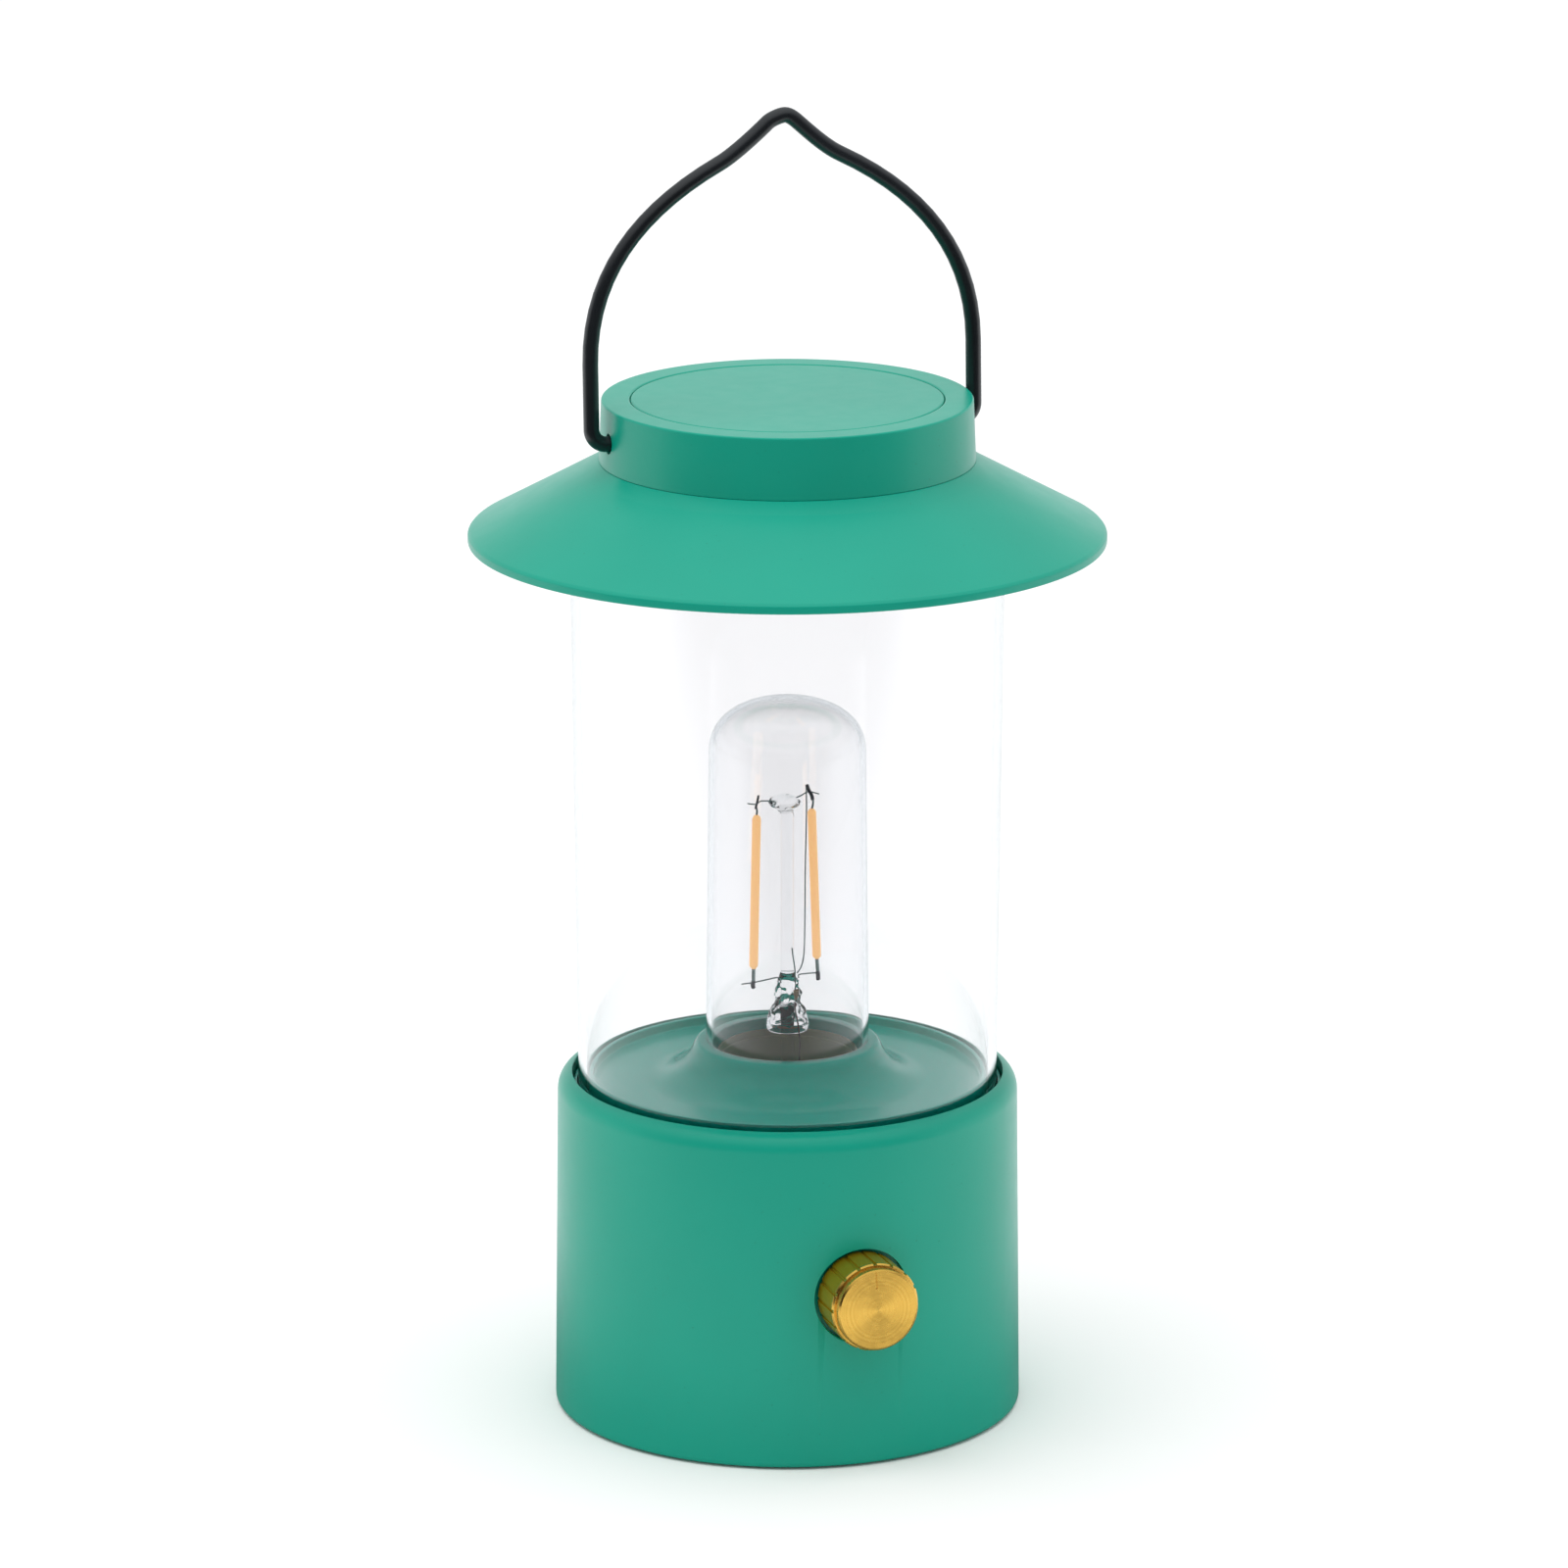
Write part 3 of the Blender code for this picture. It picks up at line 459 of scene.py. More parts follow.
def make_gold():
    """Spun and anodised: rings about the knob's own axis, and a duller grip whose darker colour is painted
    shade from the pocket round it.
    """
    look = Look("gold_aluminium", (0.80, 0.50, 0.085), 0.30, 1.0)
    radius = look.radius_about_z()
    rings = look.node("ShaderNodeTexNoise", noise_dimensions="1D")
    rings.inputs["Scale"].default_value = 2600
    rings.inputs["Detail"].default_value = 2.0
    look.link(radius, rings.inputs["W"])
    ring_tone = look.span(rings.outputs["Fac"], 0.0, 1.0)
    face = look.mix(ring_tone, (0.82, 0.475, 0.088), (0.92, 0.565, 0.118))
    along = look.split(look.place)[2]
    behind_lip = look.span(along, 1.0, 0.0, GRIP_END * MM, (GRIP_END + 0.1) * MM)
    grip = look.maths("MULTIPLY", behind_lip, look.span(radius, 0.0, 1.0, 7.9 * MM, 8.0 * MM))
    # The grip's darker, redder colour is painted shade from the pocket it sits in, not a finish of its own.
    look.drive("Base Color", look.mix(grip, face, (0.62, 0.36, 0.010)))
    look.drive("Metallic", look.span(grip, 1.0, 0.80, 0.0, 1.0))
    off_grip = look.span(grip, 1.0, 0.0, 0.0, 1.0)
    duller = look.span(grip, 0.0, 0.10, 0.0, 1.0)
    look.drive("Roughness", look.maths("ADD", look.span(look.noise(1.5, 3.0), 0.24, 0.32), duller))
    look.relief(look.maths("MULTIPLY", rings.outputs["Fac"], off_grip), 0.004)
    look.drive("Anisotropic", look.span(grip, 0.85, 0.0, 0.0, 1.0))
    look.set("Anisotropic Rotation", 0.25)
    tangent = look.node("ShaderNodeTangent", direction_type="RADIAL", axis="Z")
    look.drive("Tangent", tangent.outputs["Tangent"])
    return look.material


def make_enamel():
    """Black enamel on the wire, under a thin gloss."""
    look = moulded("black_enamel", (0.010, 0.012, 0.015), 0.30, grain=1.2, relief=0.01, spread=0.25)
    look.set("Coat Weight", 0.25)
    look.set("Coat Roughness", 0.25)
    return look.material


def make_phosphor():
    """Silicone loaded with powder: granular, with paler grains, and a weak painted glow."""
    look = Look("phosphor", (0.90, 0.50, 0.16), 0.62)
    grains = look.noise(0.22, 4.0)
    look.drive("Base Color", look.mix(look.span(grains, 0.0, 1.0), (0.84, 0.44, 0.125), (0.96, 0.60, 0.22)))
    look.drive("Roughness", look.span(grains, 0.52, 0.72))
    look.relief(grains, 0.03)
    look.set("Subsurface Weight", 0.2)
    look.set("Subsurface Radius", (0.001, 0.0006, 0.0003))
    look.set("Subsurface Scale", 0.3)
    # Painted light: a steady glow that brightens the strips, though the lamp is off.
    look.set("Emission Color", (1.0, 0.58, 0.27, 1.0))
    look.set("Emission Strength", 0.80)
    return look.material


def make_sleeve():
    """Plain metallic film on a cell, with soft patches and no print."""
    look = Look("cell_sleeve", (0.62, 0.42, 0.16), 0.28, 0.7)
    bands = look.span(look.noise(6.0, 2.0), 0, 1)
    look.drive("Base Color", look.mix(bands, (0.55, 0.36, 0.13), (0.68, 0.47, 0.19)))
    look.drive("Roughness", look.span(look.noise(2.0, 3.0), 0.22, 0.34))
    look.relief(look.noise(3.0, 1.0), 0.01)
    return look.material


LOOKS = {
    "green_plastic": make_green(),
    "green_gloss": make_green_gloss(),
    "gold_aluminium": make_gold(),
    "black_enamel": make_enamel(),
    "clear_plastic": make_clear("clear_plastic", (0.969, 0.969, 0.979), 0.02, 0.01),
    "dome_plastic": make_clear("dome_plastic", (0.990, 0.990, 0.994), 0.02, 0.01),
    "lamp_glass": make_clear("lamp_glass", (0.99, 0.993, 0.997), 0.01, 0.03, 1.25),
    "clear_silicone": make_clear("clear_silicone", (0.90, 0.92, 0.93), 0.45, 0.02, 1.41),
    "white_plastic": moulded("white_plastic", (0.80, 0.80, 0.78), 0.35).material,
    "plated_steel": metal("plated_steel", (0.56, 0.56, 0.55), 0.28).material,
    "brass": metal("brass", (0.72, 0.54, 0.25), 0.28).material,
    "dull_zinc": moulded("dull_zinc", (0.27, 0.275, 0.130), 0.40, grain=1.5, spread=0.3).material,
    "ceramic": moulded("ceramic", (0.62, 0.47, 0.30), 0.45, grain=0.2).material,
    "lead_steel": metal("lead_steel", (0.23, 0.30, 0.29), 0.35, size=0.3, spread=0.25).material,
    "weld": metal("weld", (0.11, 0.112, 0.125), 0.45, size=0.25, spread=0.5).material,
    "copper_lead": metal("copper_lead", (0.16, 0.09, 0.07), 0.35, size=0.3, spread=0.25).material,
    "phosphor": make_phosphor(),
    "board_laminate": moulded("board_laminate", (0.02, 0.16, 0.06), 0.30, grain=0.8).material,
    "black_component": moulded("black_component", (0.015, 0.015, 0.016), 0.45, grain=0.3).material,
    "black_rubber": moulded("black_rubber", (0.02, 0.02, 0.02), 0.7, grain=0.25, relief=0.03).material,
    "red_insulation": moulded("red_insulation", (0.42, 0.012, 0.01), 0.35, grain=0.8).material,
    "black_insulation": moulded("black_insulation", (0.014, 0.014, 0.014), 0.4, grain=0.8).material,
    "cell_sleeve": make_sleeve(),
}


# ---------------------------------------------------------------- carried-over CAD nodes
def dress_cad_nodes():
    """Every CAD node gets the finished material of its slot; those not replaced stay visible."""
    for part in frame["record"]["subparts"]:
        node = frame["nodes"][part["node"]]
        node.data.materials.clear()
        node.data.materials.append(LOOKS[part["material_slot"]])


# ---------------------------------------------------------------- base
def build_base_shell():
    """The cup-shaped housing, with its pad, pocket and bore for the knob."""
    top = SHELL_HIGH.z
    bottom = SHELL_LOW.z
    outer = SHELL_HIGH.x
    edge_r = 3.7
    centre = (outer - 0.75 - edge_r, top + 0.18 - edge_r)
    rim, rim_floor = 40.9, 57.8
    ledge = rim - 1.7
    inside = outer - WALL - 0.1
    skirt_r, skirt_z = 42.2, 3.2
    profile = [(outer, bottom, 0.9)]
    profile += arc(centre, edge_r, 0, 74, 14)
    profile += [
        (rim, top - 0.1, 0.45),
        (rim, rim_floor),
        (ledge, rim_floor),
        (ledge, rim_floor - 2.0),
        (inside, 54.3),
        (inside, skirt_z),
        (skirt_r, skirt_z),
        (skirt_r, bottom, 0.3),
    ]
    shell = lathe("shell_skin", profile, LOOKS["green_plastic"], ["base_shell"])

    facing = ((0, 0, KNOB_PIVOT.z), (90, 0, 0))  # cutters lie along -Y at the knob's height
    pad_r, pad_back, pad_front = 11, 38.6, 42.4
    pad = [(0, pad_back), (pad_r, pad_back), (pad_r, pad_front), (0, pad_front)]
    carve(shell, cutter(pad, *facing), "UNION")
    pocket_r, pocket_floor = 9.1, 41.6
    mouth_r = 0.28
    outside = 60  # the cutter's mouth is drawn here, then drawn back to the wall
    wall_r = outer - 0.35

    def follow_wall(point, angle):
        """The cutter's outer rings flare where they meet the curved wall."""
        if point.z < pocket_floor + 0.1:
            return point
        wall = math.sqrt(wall_r**2 - (pocket_r * math.cos(angle)) ** 2)
        return Vector((point.x, point.y, point.z - outside + wall))

    pocket = [(0, pocket_floor), (pocket_r, pocket_floor)]
    for step in range(6):
        turn = math.radians(15 * step)
        across = pocket_r + mouth_r - mouth_r * math.cos(turn)
        pocket.append((across, outside - mouth_r * (1 - math.sin(turn))))
    pocket += [(pocket_r + 1.2, outside + 1.5), (0, outside + 1.5)]
    carve(shell, cutter(pocket, *facing, 128, follow_wall))
    bore_r, bore_back, bore_front = 3.65, 36, 46
    bore = [(0, bore_back), (bore_r, bore_back), (bore_r, bore_front), (0, bore_front)]
    carve(shell, cutter(bore, *facing))


def build_tray():
    """The deck, its boss that flares up round the lamp, and the groove the tube stands in."""
    boss_top = TRAY_HIGH.z
    hole_r, boss_r, boss_foot = 14.2, 17.15, 60.5
    under = 1.8
    flare_r = 9.8
    centre = (26.9, DECK_Z + flare_r)
    lip = 65.7
    groove_in, groove_out, groove_z = 37.9, 40.0, 61.0
    edge_r, edge_z = 40.6, 63.2
    skirt_r, skirt_z = 38.9, 58.0
    web_r, web_z = 36.4, 59.4
    profile = [
        (hole_r, boss_foot),
        (hole_r, boss_top, 0.3),
        (boss_r, boss_top, 0.7),
    ]
    profile += arc(centre, flare_r, 200, 270, 16)
    profile += [
        (DECK_R, DECK_Z, 0.35),
        (DECK_R, lip, 0.22),
        (groove_in, lip, 0.22),
        (groove_in, groove_z),
        (groove_out, groove_z),
        (groove_out, edge_z, 0.15),
        (edge_r, edge_z, 0.15),
        (edge_r, skirt_z),
        (skirt_r, skirt_z),
        (skirt_r, web_z),
        (web_r, web_z),
        (36.0, DECK_Z - under),
    ]
    profile += arc(centre, flare_r + under, 270, 212, 10)
    profile += [(hole_r + under, 67.2), (hole_r + under, boss_foot)]
    lathe("tray_skin", profile, LOOKS["green_gloss"], ["tray"])


def build_seals():
    """The soft rings under and over the tube."""
    edge = 0.2
    for name, inner in (("lower_seal", 38.0), ("upper_seal", 39.15)):
        low, high = node_box(name)
        profile = [
            (inner, low.z, edge),
            (high.x, low.z, edge),
            (high.x, high.z, edge),
            (inner, high.z, edge),
        ]
        lathe(name + "_ring", profile, LOOKS["clear_silicone"], [name])


# ---------------------------------------------------------------- tube, shade, cap
def build_chimney():
    """The clear tube, slightly wider at the top."""
    wall, edge = 1.6, 0.4
    bottom_r, top_r = 39.76, TUBE_HIGH.x
    profile = [
        (bottom_r - wall, TUBE_LOW.z, edge),
        (bottom_r, TUBE_LOW.z, edge),
        (top_r, TUBE_HIGH.z, edge),
        (top_r - wall, TUBE_HIGH.z, edge),
    ]
    lathe("chimney_tube", profile, LOOKS["clear_plastic"], ["chimney"], 256)


def build_shade():
    """The conical brim with the channel that takes the tube, and the white dish inside it."""
    brim = SHADE_HIGH.x + 0.03
    top = SHADE_HIGH.z
    skin = 1.9
    edge = 0.3
    brim_z = 168.65
    collar_z = 166.6
    outer_wall, inner_wall = (41.15, 42.3), (37.7, 39.0)
    profile = [
        (0, top),
        (35.3, top, edge),
        (38.5, top - 2.0, 12),
        (48.0, 176.8, 30),
        (brim - 0.45, 170.62, 1.0),
        (brim, 170.1, 0.5),
        (brim, brim_z, edge),
        (brim - 1.15, brim_z, 0.25),
        (brim - 1.6, brim_z + 0.7, edge),
        (outer_wall[1], 177.9, 0.8),
        (outer_wall[1], collar_z, edge),
        (outer_wall[0], collar_z, edge),
        (outer_wall[0], 170.7),
        (inner_wall[1], 170.7),
        (inner_wall[1], collar_z, edge),
        (inner_wall[0], collar_z, edge),
        (inner_wall[0], 171.9, edge),
        (41.0, 171.9, edge),
        (41.0, 178.7, 0.8),
        (34.8, top - skin, 1.0),
        (0, top - skin),
    ]
    lathe("shade_skin", profile, LOOKS["green_plastic"], ["shade"])
    low, high = node_box("reflector")
    floor_r, floor_z = 36.2, low.z + 1.2
    dish = [
        (0, floor_z),
        (floor_r, floor_z, edge),
        (floor_r, high.z, 0.2),
        (high.x, high.z, 0.2),
        (high.x, low.z, 0.5),
        (0, low.z),
    ]
    lathe("reflector_dish", dish, LOOKS["white_plastic"], ["reflector"])


def build_cap():
    """The drafted cap with the two handle bores, and the lid set into it."""
    top = CAP_HIGH.z
    bottom = CAP_LOW.z
    recess = top - 1.4
    inside = recess - 1.8
    disc_r = DISC_HIGH.x
    top_r, bottom_r, wall = 34.75, 35.25, 2.0
    profile = [
        (0, recess),
        (disc_r + 0.3, recess),
        (disc_r + 0.3, top, 0.45),
        (top_r, top, 0.4),
        (bottom_r, bottom),
        (bottom_r - wall, bottom),
        (top_r - wall, inside, 1.0),
        (0, inside),
    ]
    cap = lathe("cap_skin", profile, LOOKS["green_plastic"], ["top_cap"])
    reach = 38.0
    bore_r = WIRE_R + 0.45
    run = [(0, 0), (bore_r, 0), (bore_r, 2 * reach), (0, 2 * reach)]
    carve(cap, cutter(run, (-reach, 0, PIVOT.z), (0, 90, 0), 48))
    lid_r = disc_r + 0.2
    disc = [
        (0, DISC_HIGH.z),
        (lid_r, DISC_HIGH.z, 0.45),
        (lid_r, DISC_HIGH.z - 0.9),
        (lid_r, DISC_LOW.z),
        (0, DISC_LOW.z),
    ]
    lathe("cap_lid", disc, LOOKS["green_plastic"], ["cap_disc"])


# ---------------------------------------------------------------- handle
def build_handle():
    """The bail, bent from one wire, in its plane (x, height above the pivot), then leaned back."""
    half_span, bend, rise, peak_x = 37.6, 2.9, 59.4, 0.9
    quarter = 0.5523 * bend  # handle length that makes a cubic curve a quarter circle
    slope = 0.5
    # each side's shoulder and neck: distance out and drop below the peak
    shoulders = {-1: (11.9, 8.3, 2.5, 1.3), 1: (11.6, 7.8, 3.5, 1.5)}

    def leg(side):
        out_x, drop, neck_x, neck_drop = shoulders[side]
        knots = [
            ((30.5, 0), (0, 0), (1, 0)),
            ((half_span - bend, 0), (-1, 0), (quarter, 0)),
            ((half_span, bend), (0, -quarter), (0, 4)),
            ((half_span, 15), (0, -4), (0, 16.4)),
            ((out_x, rise - drop), (16.3, -16.3 * slope), (-2.8, 2.8 * slope)),
            ((neck_x, rise - neck_drop), (1.9, -1.7), (-0.7, 0.63)),
        ]
        return [[Vector((side * x, 0, z)) for x, z in knot] for knot in knots]

    peak = [Vector((peak_x, 0, rise)), Vector((-0.9, 0, 0)), Vector((0.9, 0, 0))]
    other = [(point, forward, back) for point, back, forward in reversed(leg(1))]
    path = bezier_points(leg(-1) + [peak] + other, 14)
    lean = Matrix.Rotation(math.radians(-2.3), 3, "X")
    off_centre = Vector((-0.65, 0, 0))
    path = [lean @ point + PIVOT + off_centre for point in path]
    mesh = finish_mesh("handle_wire", tube_bm(path, WIRE_R, 24), 60)
    add_piece("handle_wire", mesh, LOOKS["black_enamel"], "handle", ["handle"])


# ---------------------------------------------------------------- knob
def build_knob():
    """Turned knob: a spun face that stands in front of a polished lip and a grooved grip."""
    radius = KNOB_HIGH.x
    depth = KNOB_HIGH.y - KNOB_LOW.y
    face_r, lip = 7.85, depth - 1.9
    skirt_r, bore_r, bore_end = 6.8, 3.05, depth - 2.0
    grooves, half_width, groove_depth = 16, 0.36, 0.36
    profile = [
        (0, depth - 0.05),
        (6.0, depth - 0.05),
        (face_r - 0.42, depth - 0.05, 0.05),
        (face_r - 0.36, depth, 0.05),
        (face_r, depth - 0.34, 0.08),
        (face_r, lip + 0.02),
        (radius - 0.3, lip + 0.02, 0.12),
        (radius, lip - 0.3, 0.12),
        (radius, lip - 0.8, 0.05),
        (radius - 0.07, lip - 0.87, 0.05),
        (radius - 0.07, 0.3, 0.2),
        (radius - 0.4, 0, 0.15),
        (skirt_r, 0, 0.2),
        (skirt_r, 3.0),
        (bore_r, 3.0),
        (bore_r, bore_end),
        (0, bore_end),
    ]
    pitch = math.tau / grooves

    def cut(point, angle):
        """Flat-bottomed grooves along the grip and through its lip."""
        around = math.hypot(point.x, point.y)
        if around < face_r + 0.2 or point.z > lip:
            return point
        across = abs((angle / pitch + 0.5) % 1 - 0.5) * pitch * radius
        if across > half_width:
            return point
        wall = min(1.0, (half_width - across) / 0.08)
        floor = min(around, radius - groove_depth * wall)
        return Vector((point.x, point.y, 0)) * (floor / around) + Vector((0, 0, point.z))

    mesh = finish_mesh("knob_turned", lathe_bm(guarded(rounded(profile, 3)), 60 * grooves, cut), 30)
    piece = add_piece("knob_turned", mesh, LOOKS["gold_aluminium"], "knob", ["knob"])
    place = Matrix.Translation(KNOB_PIVOT * MM) @ Matrix.Rotation(math.radians(90), 4, "X")
    piece.matrix_world = place
    slot_width, slot_length, slot_middle = 0.45, 3.4, 5.9
    pointer = bmesh.new()
    bmesh.ops.create_cube(pointer, size=1.0)
    for vert in pointer.verts:
        x, y, z = vert.co
        vert.co = Vector((x * slot_width, slot_middle + y * slot_length, depth + z * 0.5)) * MM
    bmesh.ops.bevel(pointer, geom=pointer.edges[:], offset=0.1 * MM, segments=2, affect="EDGES")
    helper = bpy.data.objects.new("cutter", finish_mesh("cutter", pointer))
    bpy.context.scene.collection.objects.link(helper)
    helper.matrix_world = place @ Matrix.Rotation(math.radians(5), 4, "Z")
    carve(piece, helper, sharp=30)
    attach(piece, "knob")


# ---------------------------------------------------------------- lamp
def build_dome():
    """The clear lamp cover: slightly tapered, with a dome a little fuller than a half circle."""
    wall_mm, spring, squareness = 1.0, 127.9, 0.9
    bottom_r, top_r = DOME_HIGH.x, 14.85
    sunk = 0.35
    foot = TRAY_HIGH.z + 0.1 - sunk
    crown = DOME_HIGH.z - spring

    def wall(inset):
        points = [(0, DOME_HIGH.z - inset)]
        for step in range(22, -1, -1):
            turn = math.radians(4 * step)
            across = math.cos(turn) ** squareness
            rise = math.sin(turn) ** squareness
            points.append(((top_r - inset) * across, spring + (crown - inset) * rise))
        return points

    profile = wall(0) + [(bottom_r, foot), (bottom_r - wall_mm, foot)]
    profile += wall(wall_mm)[::-1]
    lathe("dome_glass", profile, LOOKS["dome_plastic"], ["bulb_dome"], 160)


def build_cup():
    """The socket under the lamp, with the flange that holds it and a small step at its rim."""
    low, high = node_box("lamp_cup")
    hole_r, outer = 3.0, 13.3
    flange_r, flange_low, flange_high = 18.0, 59.2, 60.2
    inner, floor = 12.5, low.z + 0.8
    profile = [
        (hole_r, low.z),
        (outer, low.z, 0.3),
        (outer, flange_low),
        (flange_r, flange_low),
        (flange_r, flange_high),
        (outer, flange_high),
        (outer, high.z, 0.22),
        (12.85, high.z, 0.2),
        (12.8, high.z - 1.3, 0.1),
        (inner, high.z - 1.5, 0.1),
        (inner, floor, 0.3),
        (hole_r, floor),
    ]
    lathe("lamp_socket", profile, LOOKS["dull_zinc"], ["lamp_cup"])


def build_stem():
    """Exhaust tube, hollow flared foot with its pinched seal, support rod and end button."""
    tube_r, rod_r = 1.25, 1.22
    button_z = STEM_HIGH.z - 0.3
    seal_z, seal_reach, button_reach = 79.2, 5.0, 2.2
    profile = [
        (0, STEM_LOW.z),
        (3.0, STEM_LOW.z, 0.3),
        (2.4, 61.4, 0.4),
        (tube_r, 62.4, 0.6),
        (tube_r, 78.2, 0.3),
        (1.9, 78.0, 0.4),
        (2.9, 76.2, 0.5),
        (3.35, 74.7, 0.5),
        (3.45, 73.3, 0.2),
        (3.85, 73.1, 0.25),
        (4.1, 74.4, 0.6),
        (3.95, 75.6, 0.6),
        (3.3, 77.6, 0.8),
        (2.8, 79.0, 0.8),
        (2.5, 80.8, 0.8),
        (2.15, 82.6, 0.8),
        (1.5, 83.9, 0.5),
        (1.42, 84.3, 0.1),
        (rod_r, 84.45, 0.05),
        (rod_r, 87.0),
        (rod_r, button_z - 3.0, 0.3),
        (1.7, button_z - 2.5, 0.5),
        (2.75, button_z - 1.9, 0.4),
        (3.0, button_z - 1.1, 0.4),
        (2.2, button_z - 0.25, 0.8),
        (0.9, button_z - 0.35, 0.6),
        (0, button_z - 0.7),
    ]

    def pinch(point, angle):
        """Melted lumps and folds on the seal and the button, and a slight flattening."""
        around = math.hypot(point.x, point.y)
        if around < tube_r + 0.05 and point.z < 84:
            return point
        seal = max(0.0, 1 - abs(point.z - seal_z) / seal_reach)
        button = max(0.0, 1 - abs(point.z - button_z + 1.2) / button_reach)
        lump = noise.noise(Vector((point.x * 0.55, point.y * 0.55, point.z * 0.42 + 3.1)))
        ripple = noise.noise(Vector((point.x * 0.95, point.y * 0.95, point.z * 0.8)))
        fold = math.sin(point.z * 1.9 + 2.6 * math.sin(angle + 0.6))
        push = seal * (0.6 * lump + 0.75 * ripple + 0.22 * fold)
        push += button * (0.4 * lump + 0.6 * ripple)
        factor = 1 + push / max(around, 0.8)
        flat = 1 - 0.22 * seal * abs(math.sin(angle - LAMP_TURN))
        lean = -0.6 * min(1.0, 1.6 * button)
        rise = 0.35 * button * ripple + 0.45 * min(1.0, 2 * button)
        return Vector((point.x * factor * flat + lean, point.y * factor * flat, point.z + rise))

    outline = split_runs(rounded(profile), 0.3)
    mesh = finish_mesh("stem_glass", lathe_bm(outline, 96, pinch), 75)
    add_piece("stem_glass", mesh, LOOKS["lamp_glass"], stands_for=["glass_stem"])


def wire_piece(name, run, radius, look, stands_for=(), flat=0.0):
    """A drawn wire through (offset, height, depth) points; flat thins it towards the viewer."""
    across = lamp_point(1, 0)

    def squeeze(offset):
        along = across * offset.dot(across)
        return along + (offset - along) * (1 - flat)

    path = smooth_path([lamp_point(*point) for point in run], 6)
    mesh = finish_mesh(name, tube_bm(path, radius, 12, squeeze=squeeze), 60)
    add_piece(name, mesh, LOOKS[look], stands_for=stands_for)


def build_filament(side, top, bottom, taper):
    """The coated strip. Ends are (offset, height) in the lamp's plane, taper is in millimetres."""
    radius, steps = 0.83, 60
    start, end = lamp_point(*bottom), lamp_point(*top)
    length = (end - start).length
    path = [start.lerp(end, step / steps) for step in range(steps + 1)]

    def size(share):
        from_end = min(1.0, min(share, 1 - share) * length / taper)
        return radius * (0.5 + 0.5 * math.sqrt(1 - (1 - from_end) ** 2))

    body = finish_mesh(f"filament_body_{side}", tube_bm(path, size, 20), 60)
    add_piece(f"filament_body_{side}", body, LOOKS["phosphor"], stands_for=[f"filament_{side}"])


def build_filaments():
    """Two coated strips, their flat leads and the bent tabs welded to their ends."""
    build_filament("left", (-6.99, 116.3), (-7.71, 86.4), 0.9)
    build_filament("right", (5.61, 115.6), (6.85, 86.0), 0.3)
    wire_piece("lead_left", [(-7.7, 86.5), (-7.74, 84.4), (-7.77, 82.5)], 0.40, "lead_steel", flat=0.6)
    wire_piece("lead_right", [(6.85, 86.1), (7.04, 84.0), (7.18, 81.7)], 0.42, "lead_steel", flat=0.6)
    wire_piece("weld_left", [(-7.75, 83.9), (-7.9, 83.2), (-7.7, 82.6)], 0.46, "weld", flat=0.4)
    wire_piece("weld_right", [(7.0, 83.4), (7.15, 82.7), (7.2, 81.8)], 0.47, "weld", flat=0.4)
    wire_piece("tip_left", [(-7.0, 116.2), (-6.9, 117.2), (-7.1, 117.9)], 0.22, "lead_steel", flat=0.4)
    wire_piece("tab_left", [(-7.25, 117.6), (-7.0, 118.4), (-6.8, 119.1), (-6.55, 120.1)], 0.24, "weld",
               flat=0.3)
    wire_piece("tip_right", [(5.65, 115.5), (5.95, 116.7), (5.85, 117.6)], 0.24, "lead_steel", flat=0.4)
    wire_piece("tab_right", [(5.85, 117.4), (5.6, 118.3), (5.1, 119.1), (4.75, 119.8), (4.5, 120.5)], 0.42,
               "weld", flat=0.5)


def build_wires():
    """Support wires welded across the leads, and the feed wires that run into the seal."""
    fine = 0.13
    runs = {
        "top_wire_left": [(-8.97, 118.9), (-7.9, 118.6), (-7.0, 118.5), (-6.1, 118.9), (-4.9, 118.8),
                          (-3.6, 118.5), (-2.6, 118.2)],
        "top_wire_right": [(7.3, 118.3), (6.1, 118.75), (4.7, 119.1), (3.1, 118.6), (1.6, 118.3)],
        "bottom_wire_left": [(-10.3, 83.75), (-7.9, 83.65), (-5.0, 83.7), (-2.6, 83.75), (-1.9, 83.4),
                             (-1.3, 82.5)],
        "bottom_wire_right": [(7.6, 83.1), (4.7, 83.4), (2.3, 83.7, -0.6), (1.6, 83.4, -1.4)],
        "return_wire": [(4.3, 120.0), (4.25, 118.2, -0.2), (3.9, 114.9, -0.7), (3.44, 105.2, -1.0),
                        (3.33, 95.4, -1.0), (3.16, 88.5, -1.0), (2.4, 85.7, -1.3), (1.2, 84.4, -1.5)],
    }
    for name, run in runs.items():
        wire_piece(name + "_drawn", run, fine, "lead_steel", [name])
    spur = [(-0.12, 89.6, -1.7), (0.17, 87.9, -1.6), (0.63, 85.7, -1.5), (0.85, 84.4, -1.3),
            (0.95, 82.7, -1.0), (1.15, 81.0, -0.8)]
    wire_piece("feed_spur", spur, fine, "lead_steel")
    wire_piece("seal_bead", [(1.15, 80.9, -0.8), (1.25, 79.9, -0.8), (1.1, 79.0, -0.8)], 0.42, "ceramic")
    feed = [(1.0, 79.2, -0.8), (0.7, 77.5, -1.6), (0.6, 75.5, -2.2), (0.9, 73.5, -2.4), (1.2, 70.0, -2.4),
            (1.0, 62.0, -2.0)]
    wire_piece("feed_wire", feed, 0.16, "copper_lead")


# ---------------------------------------------------------------- studio
CAMERA_AZIMUTH = math.radians(-18.6)
TOWARDS_CAMERA = Vector((math.sin(CAMERA_AZIMUTH), -math.cos(CAMERA_AZIMUTH), 0))


def distance_in_front(look, vector):
    """How far a place or direction lies on the camera's side."""
    dot = look.node("ShaderNodeVectorMath", operation="DOT_PRODUCT")
    look.link(vector, dot.inputs[0])
    dot.inputs[1].default_value = TOWARDS_CAMERA
    return dot.outputs["Value"]


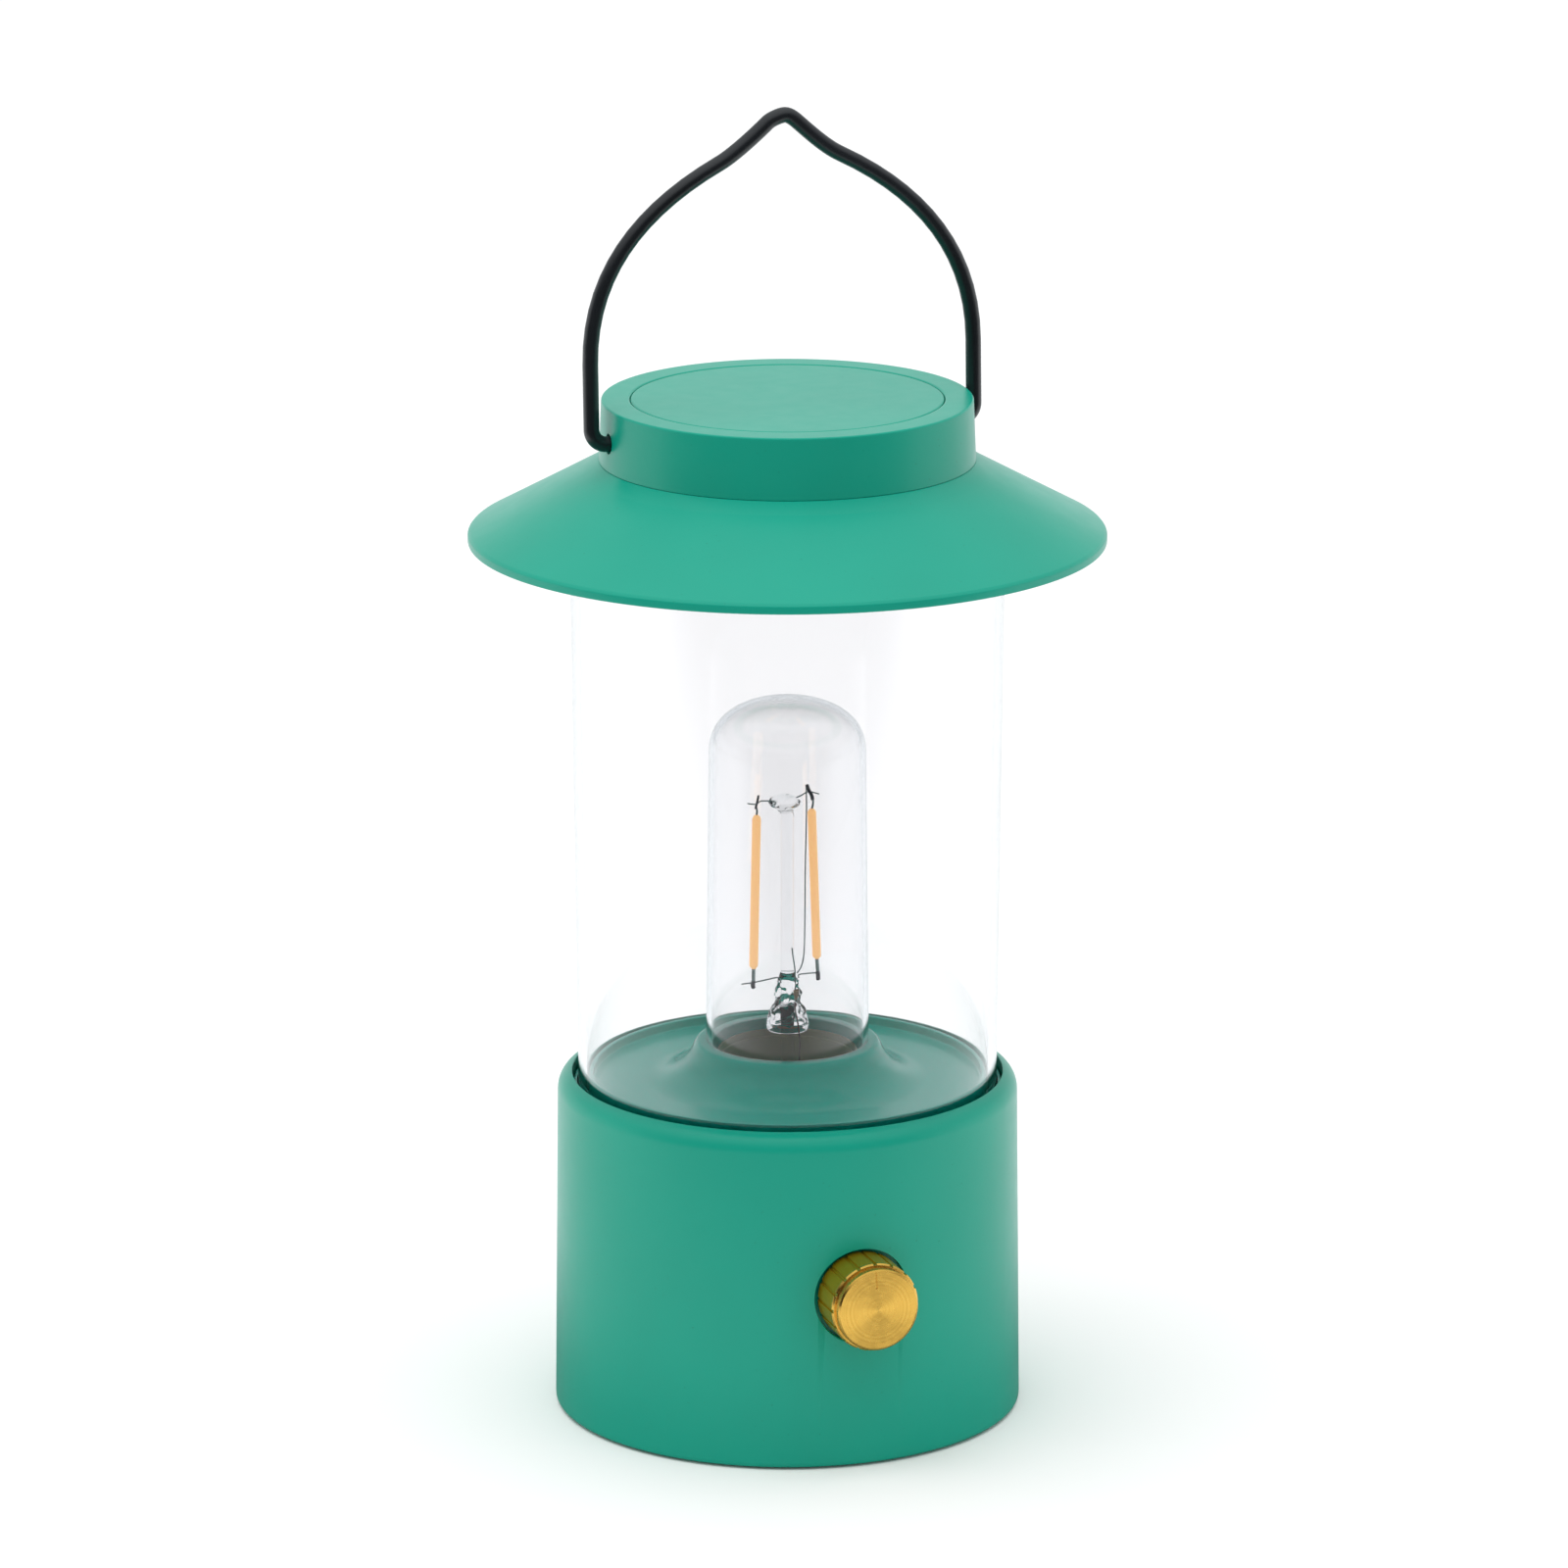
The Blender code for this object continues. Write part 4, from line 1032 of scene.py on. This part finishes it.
def by_ray(look, for_light, for_reflection):
    """1 as the camera sees it, also through glass; other values after a soft or a mirror bounce."""
    path = look.node("ShaderNodeLightPath")
    value = None
    for depth, bounced in (("Glossy Depth", for_reflection), ("Diffuse Depth", for_light)):
        pick = look.node("ShaderNodeMix", data_type="FLOAT")
        look.link(look.maths("MINIMUM", path.outputs[depth], 1.0), pick.inputs[0])
        if value is None:
            pick.inputs[2].default_value = 1.0
        else:
            look.link(value, pick.inputs[2])
        look.link(bounced, pick.inputs[3])
        value = pick.outputs[0]
    return value


def build_floor():
    """White paper; bounced light and reflections see it darker towards the camera."""
    half_side = 12.0
    floor_bm = bmesh.new()
    bmesh.ops.create_grid(floor_bm, x_segments=2, y_segments=2, size=half_side)
    floor = bpy.data.objects.new("floor", finish_mesh("floor", floor_bm))
    look = Look("floor_paper", (0.93, 0.93, 0.93), 0.9)
    look.set("Specular IOR Level", 0.0)
    paper = look.mix(look.noise(300.0, 2.0), (0.945, 0.945, 0.945), (0.955, 0.955, 0.955))
    ahead = distance_in_front(look, look.place)
    for_light = look.span(ahead, 0.95, 0.45, 0.15, 0.80)
    near_foot = look.span(look.radius_about_z(), 0.30, 1.0, 0.06, 0.13)
    for_reflection = look.maths("MULTIPLY", look.span(ahead, 1.0, 0.0, 0.10, 0.40), near_foot)
    look.drive("Base Color", look.mix(by_ray(look, for_light, for_reflection), (0.0, 0.0, 0.0), paper))
    look.relief(look.noise(0.8, 2.0), 0.01)
    floor.data.materials.append(look.material)
    bpy.context.scene.collection.objects.link(floor)
    floor.location.z = -0.1 * MM


def build_world():
    """An even white room, darker towards the camera; reflections see bright sides and a ceiling."""
    world = bpy.data.worlds.new("studio")
    bpy.context.scene.world = world
    world.use_nodes = True
    look = NodeTree(world.node_tree)
    background = look.tree.nodes["Background"]
    direction = look.node("ShaderNodeTexCoord").outputs["Generated"]
    ahead = distance_in_front(look, direction)
    for_light = look.span(ahead, 1.0, 0.55, 0.30, 0.95)
    height = look.split(direction)[2]
    behind = look.span(ahead, 1.0, 0.0, 0.0, 0.50)
    sides = look.maths("MULTIPLY", behind, look.span(height, 1.4, 0.62, 0.0, 0.32))
    ceiling = look.span(height, 0.0, 0.80, 0.38, 0.66)
    above = look.maths("ADD", ceiling, look.span(height, 0.0, 1.3, 0.84, 0.97))
    for_reflection = look.maths("MAXIMUM", sides, above)
    strength = by_ray(look, for_light, for_reflection)
    mirrored = look.maths("MINIMUM", look.node("ShaderNodeLightPath").outputs["Glossy Depth"], 1.0)
    tint = look.mix(mirrored, (1.0, 1.0, 1.0), (0.94, 0.98, 1.0))
    look.link(look.mix(strength, (0.0, 0.0, 0.0), tint), background.inputs["Color"])
    background.inputs["Strength"].default_value = 1.0


def area_light(name, energy, size, place, target):
    """A square light that shows neither directly, nor through glass, nor in a reflection."""
    light = bpy.data.lights.new(name, "AREA")
    light.energy = energy
    light.size = size
    lamp = bpy.data.objects.new(name, light)
    bpy.context.scene.collection.objects.link(lamp)
    lamp.location = place
    lamp.rotation_euler = (Vector(target) - lamp.location).to_track_quat("-Z", "Y").to_euler()
    lamp.visible_camera = False
    lamp.visible_transmission = False
    lamp.visible_glossy = False


def build_lights():
    """A broad overhead light and a weak fill inside the chimney."""
    area_light("softbox", 18.0, 1.8, (-0.3, -0.2, 2.0), (0, 0, 0.1))
    area_light("chimney_fill", 0.070, 0.05, (0, 0, 0.165), (0, 0, 0))


def build_camera():
    """A long lens looking slightly down at the lantern, its knob to the right of the middle."""
    elevation = math.radians(14.97)
    distance = 1.6188
    target = Vector((0, 0, 0.1211))
    back = TOWARDS_CAMERA * math.cos(elevation) + Vector((0, 0, math.sin(elevation)))
    data = bpy.data.cameras.new("camera")
    data.sensor_width = 36.0
    data.lens = 197.03
    data.shift_x = -0.0022
    data.clip_end = 50.0
    camera = bpy.data.objects.new("camera", data)
    bpy.context.scene.collection.objects.link(camera)
    camera.location = target + back * distance
    camera.rotation_euler = (-back).to_track_quat("-Z", "Y").to_euler()
    bpy.context.scene.camera = camera


dress_cad_nodes()
build_base_shell()
build_tray()
build_seals()
build_chimney()
build_shade()
build_cap()
build_handle()
build_knob()
build_dome()
build_cup()
build_stem()
build_filaments()
build_wires()
build_floor()
build_world()
build_lights()
build_camera()
bpy.context.scene.view_settings.view_transform = "Standard"
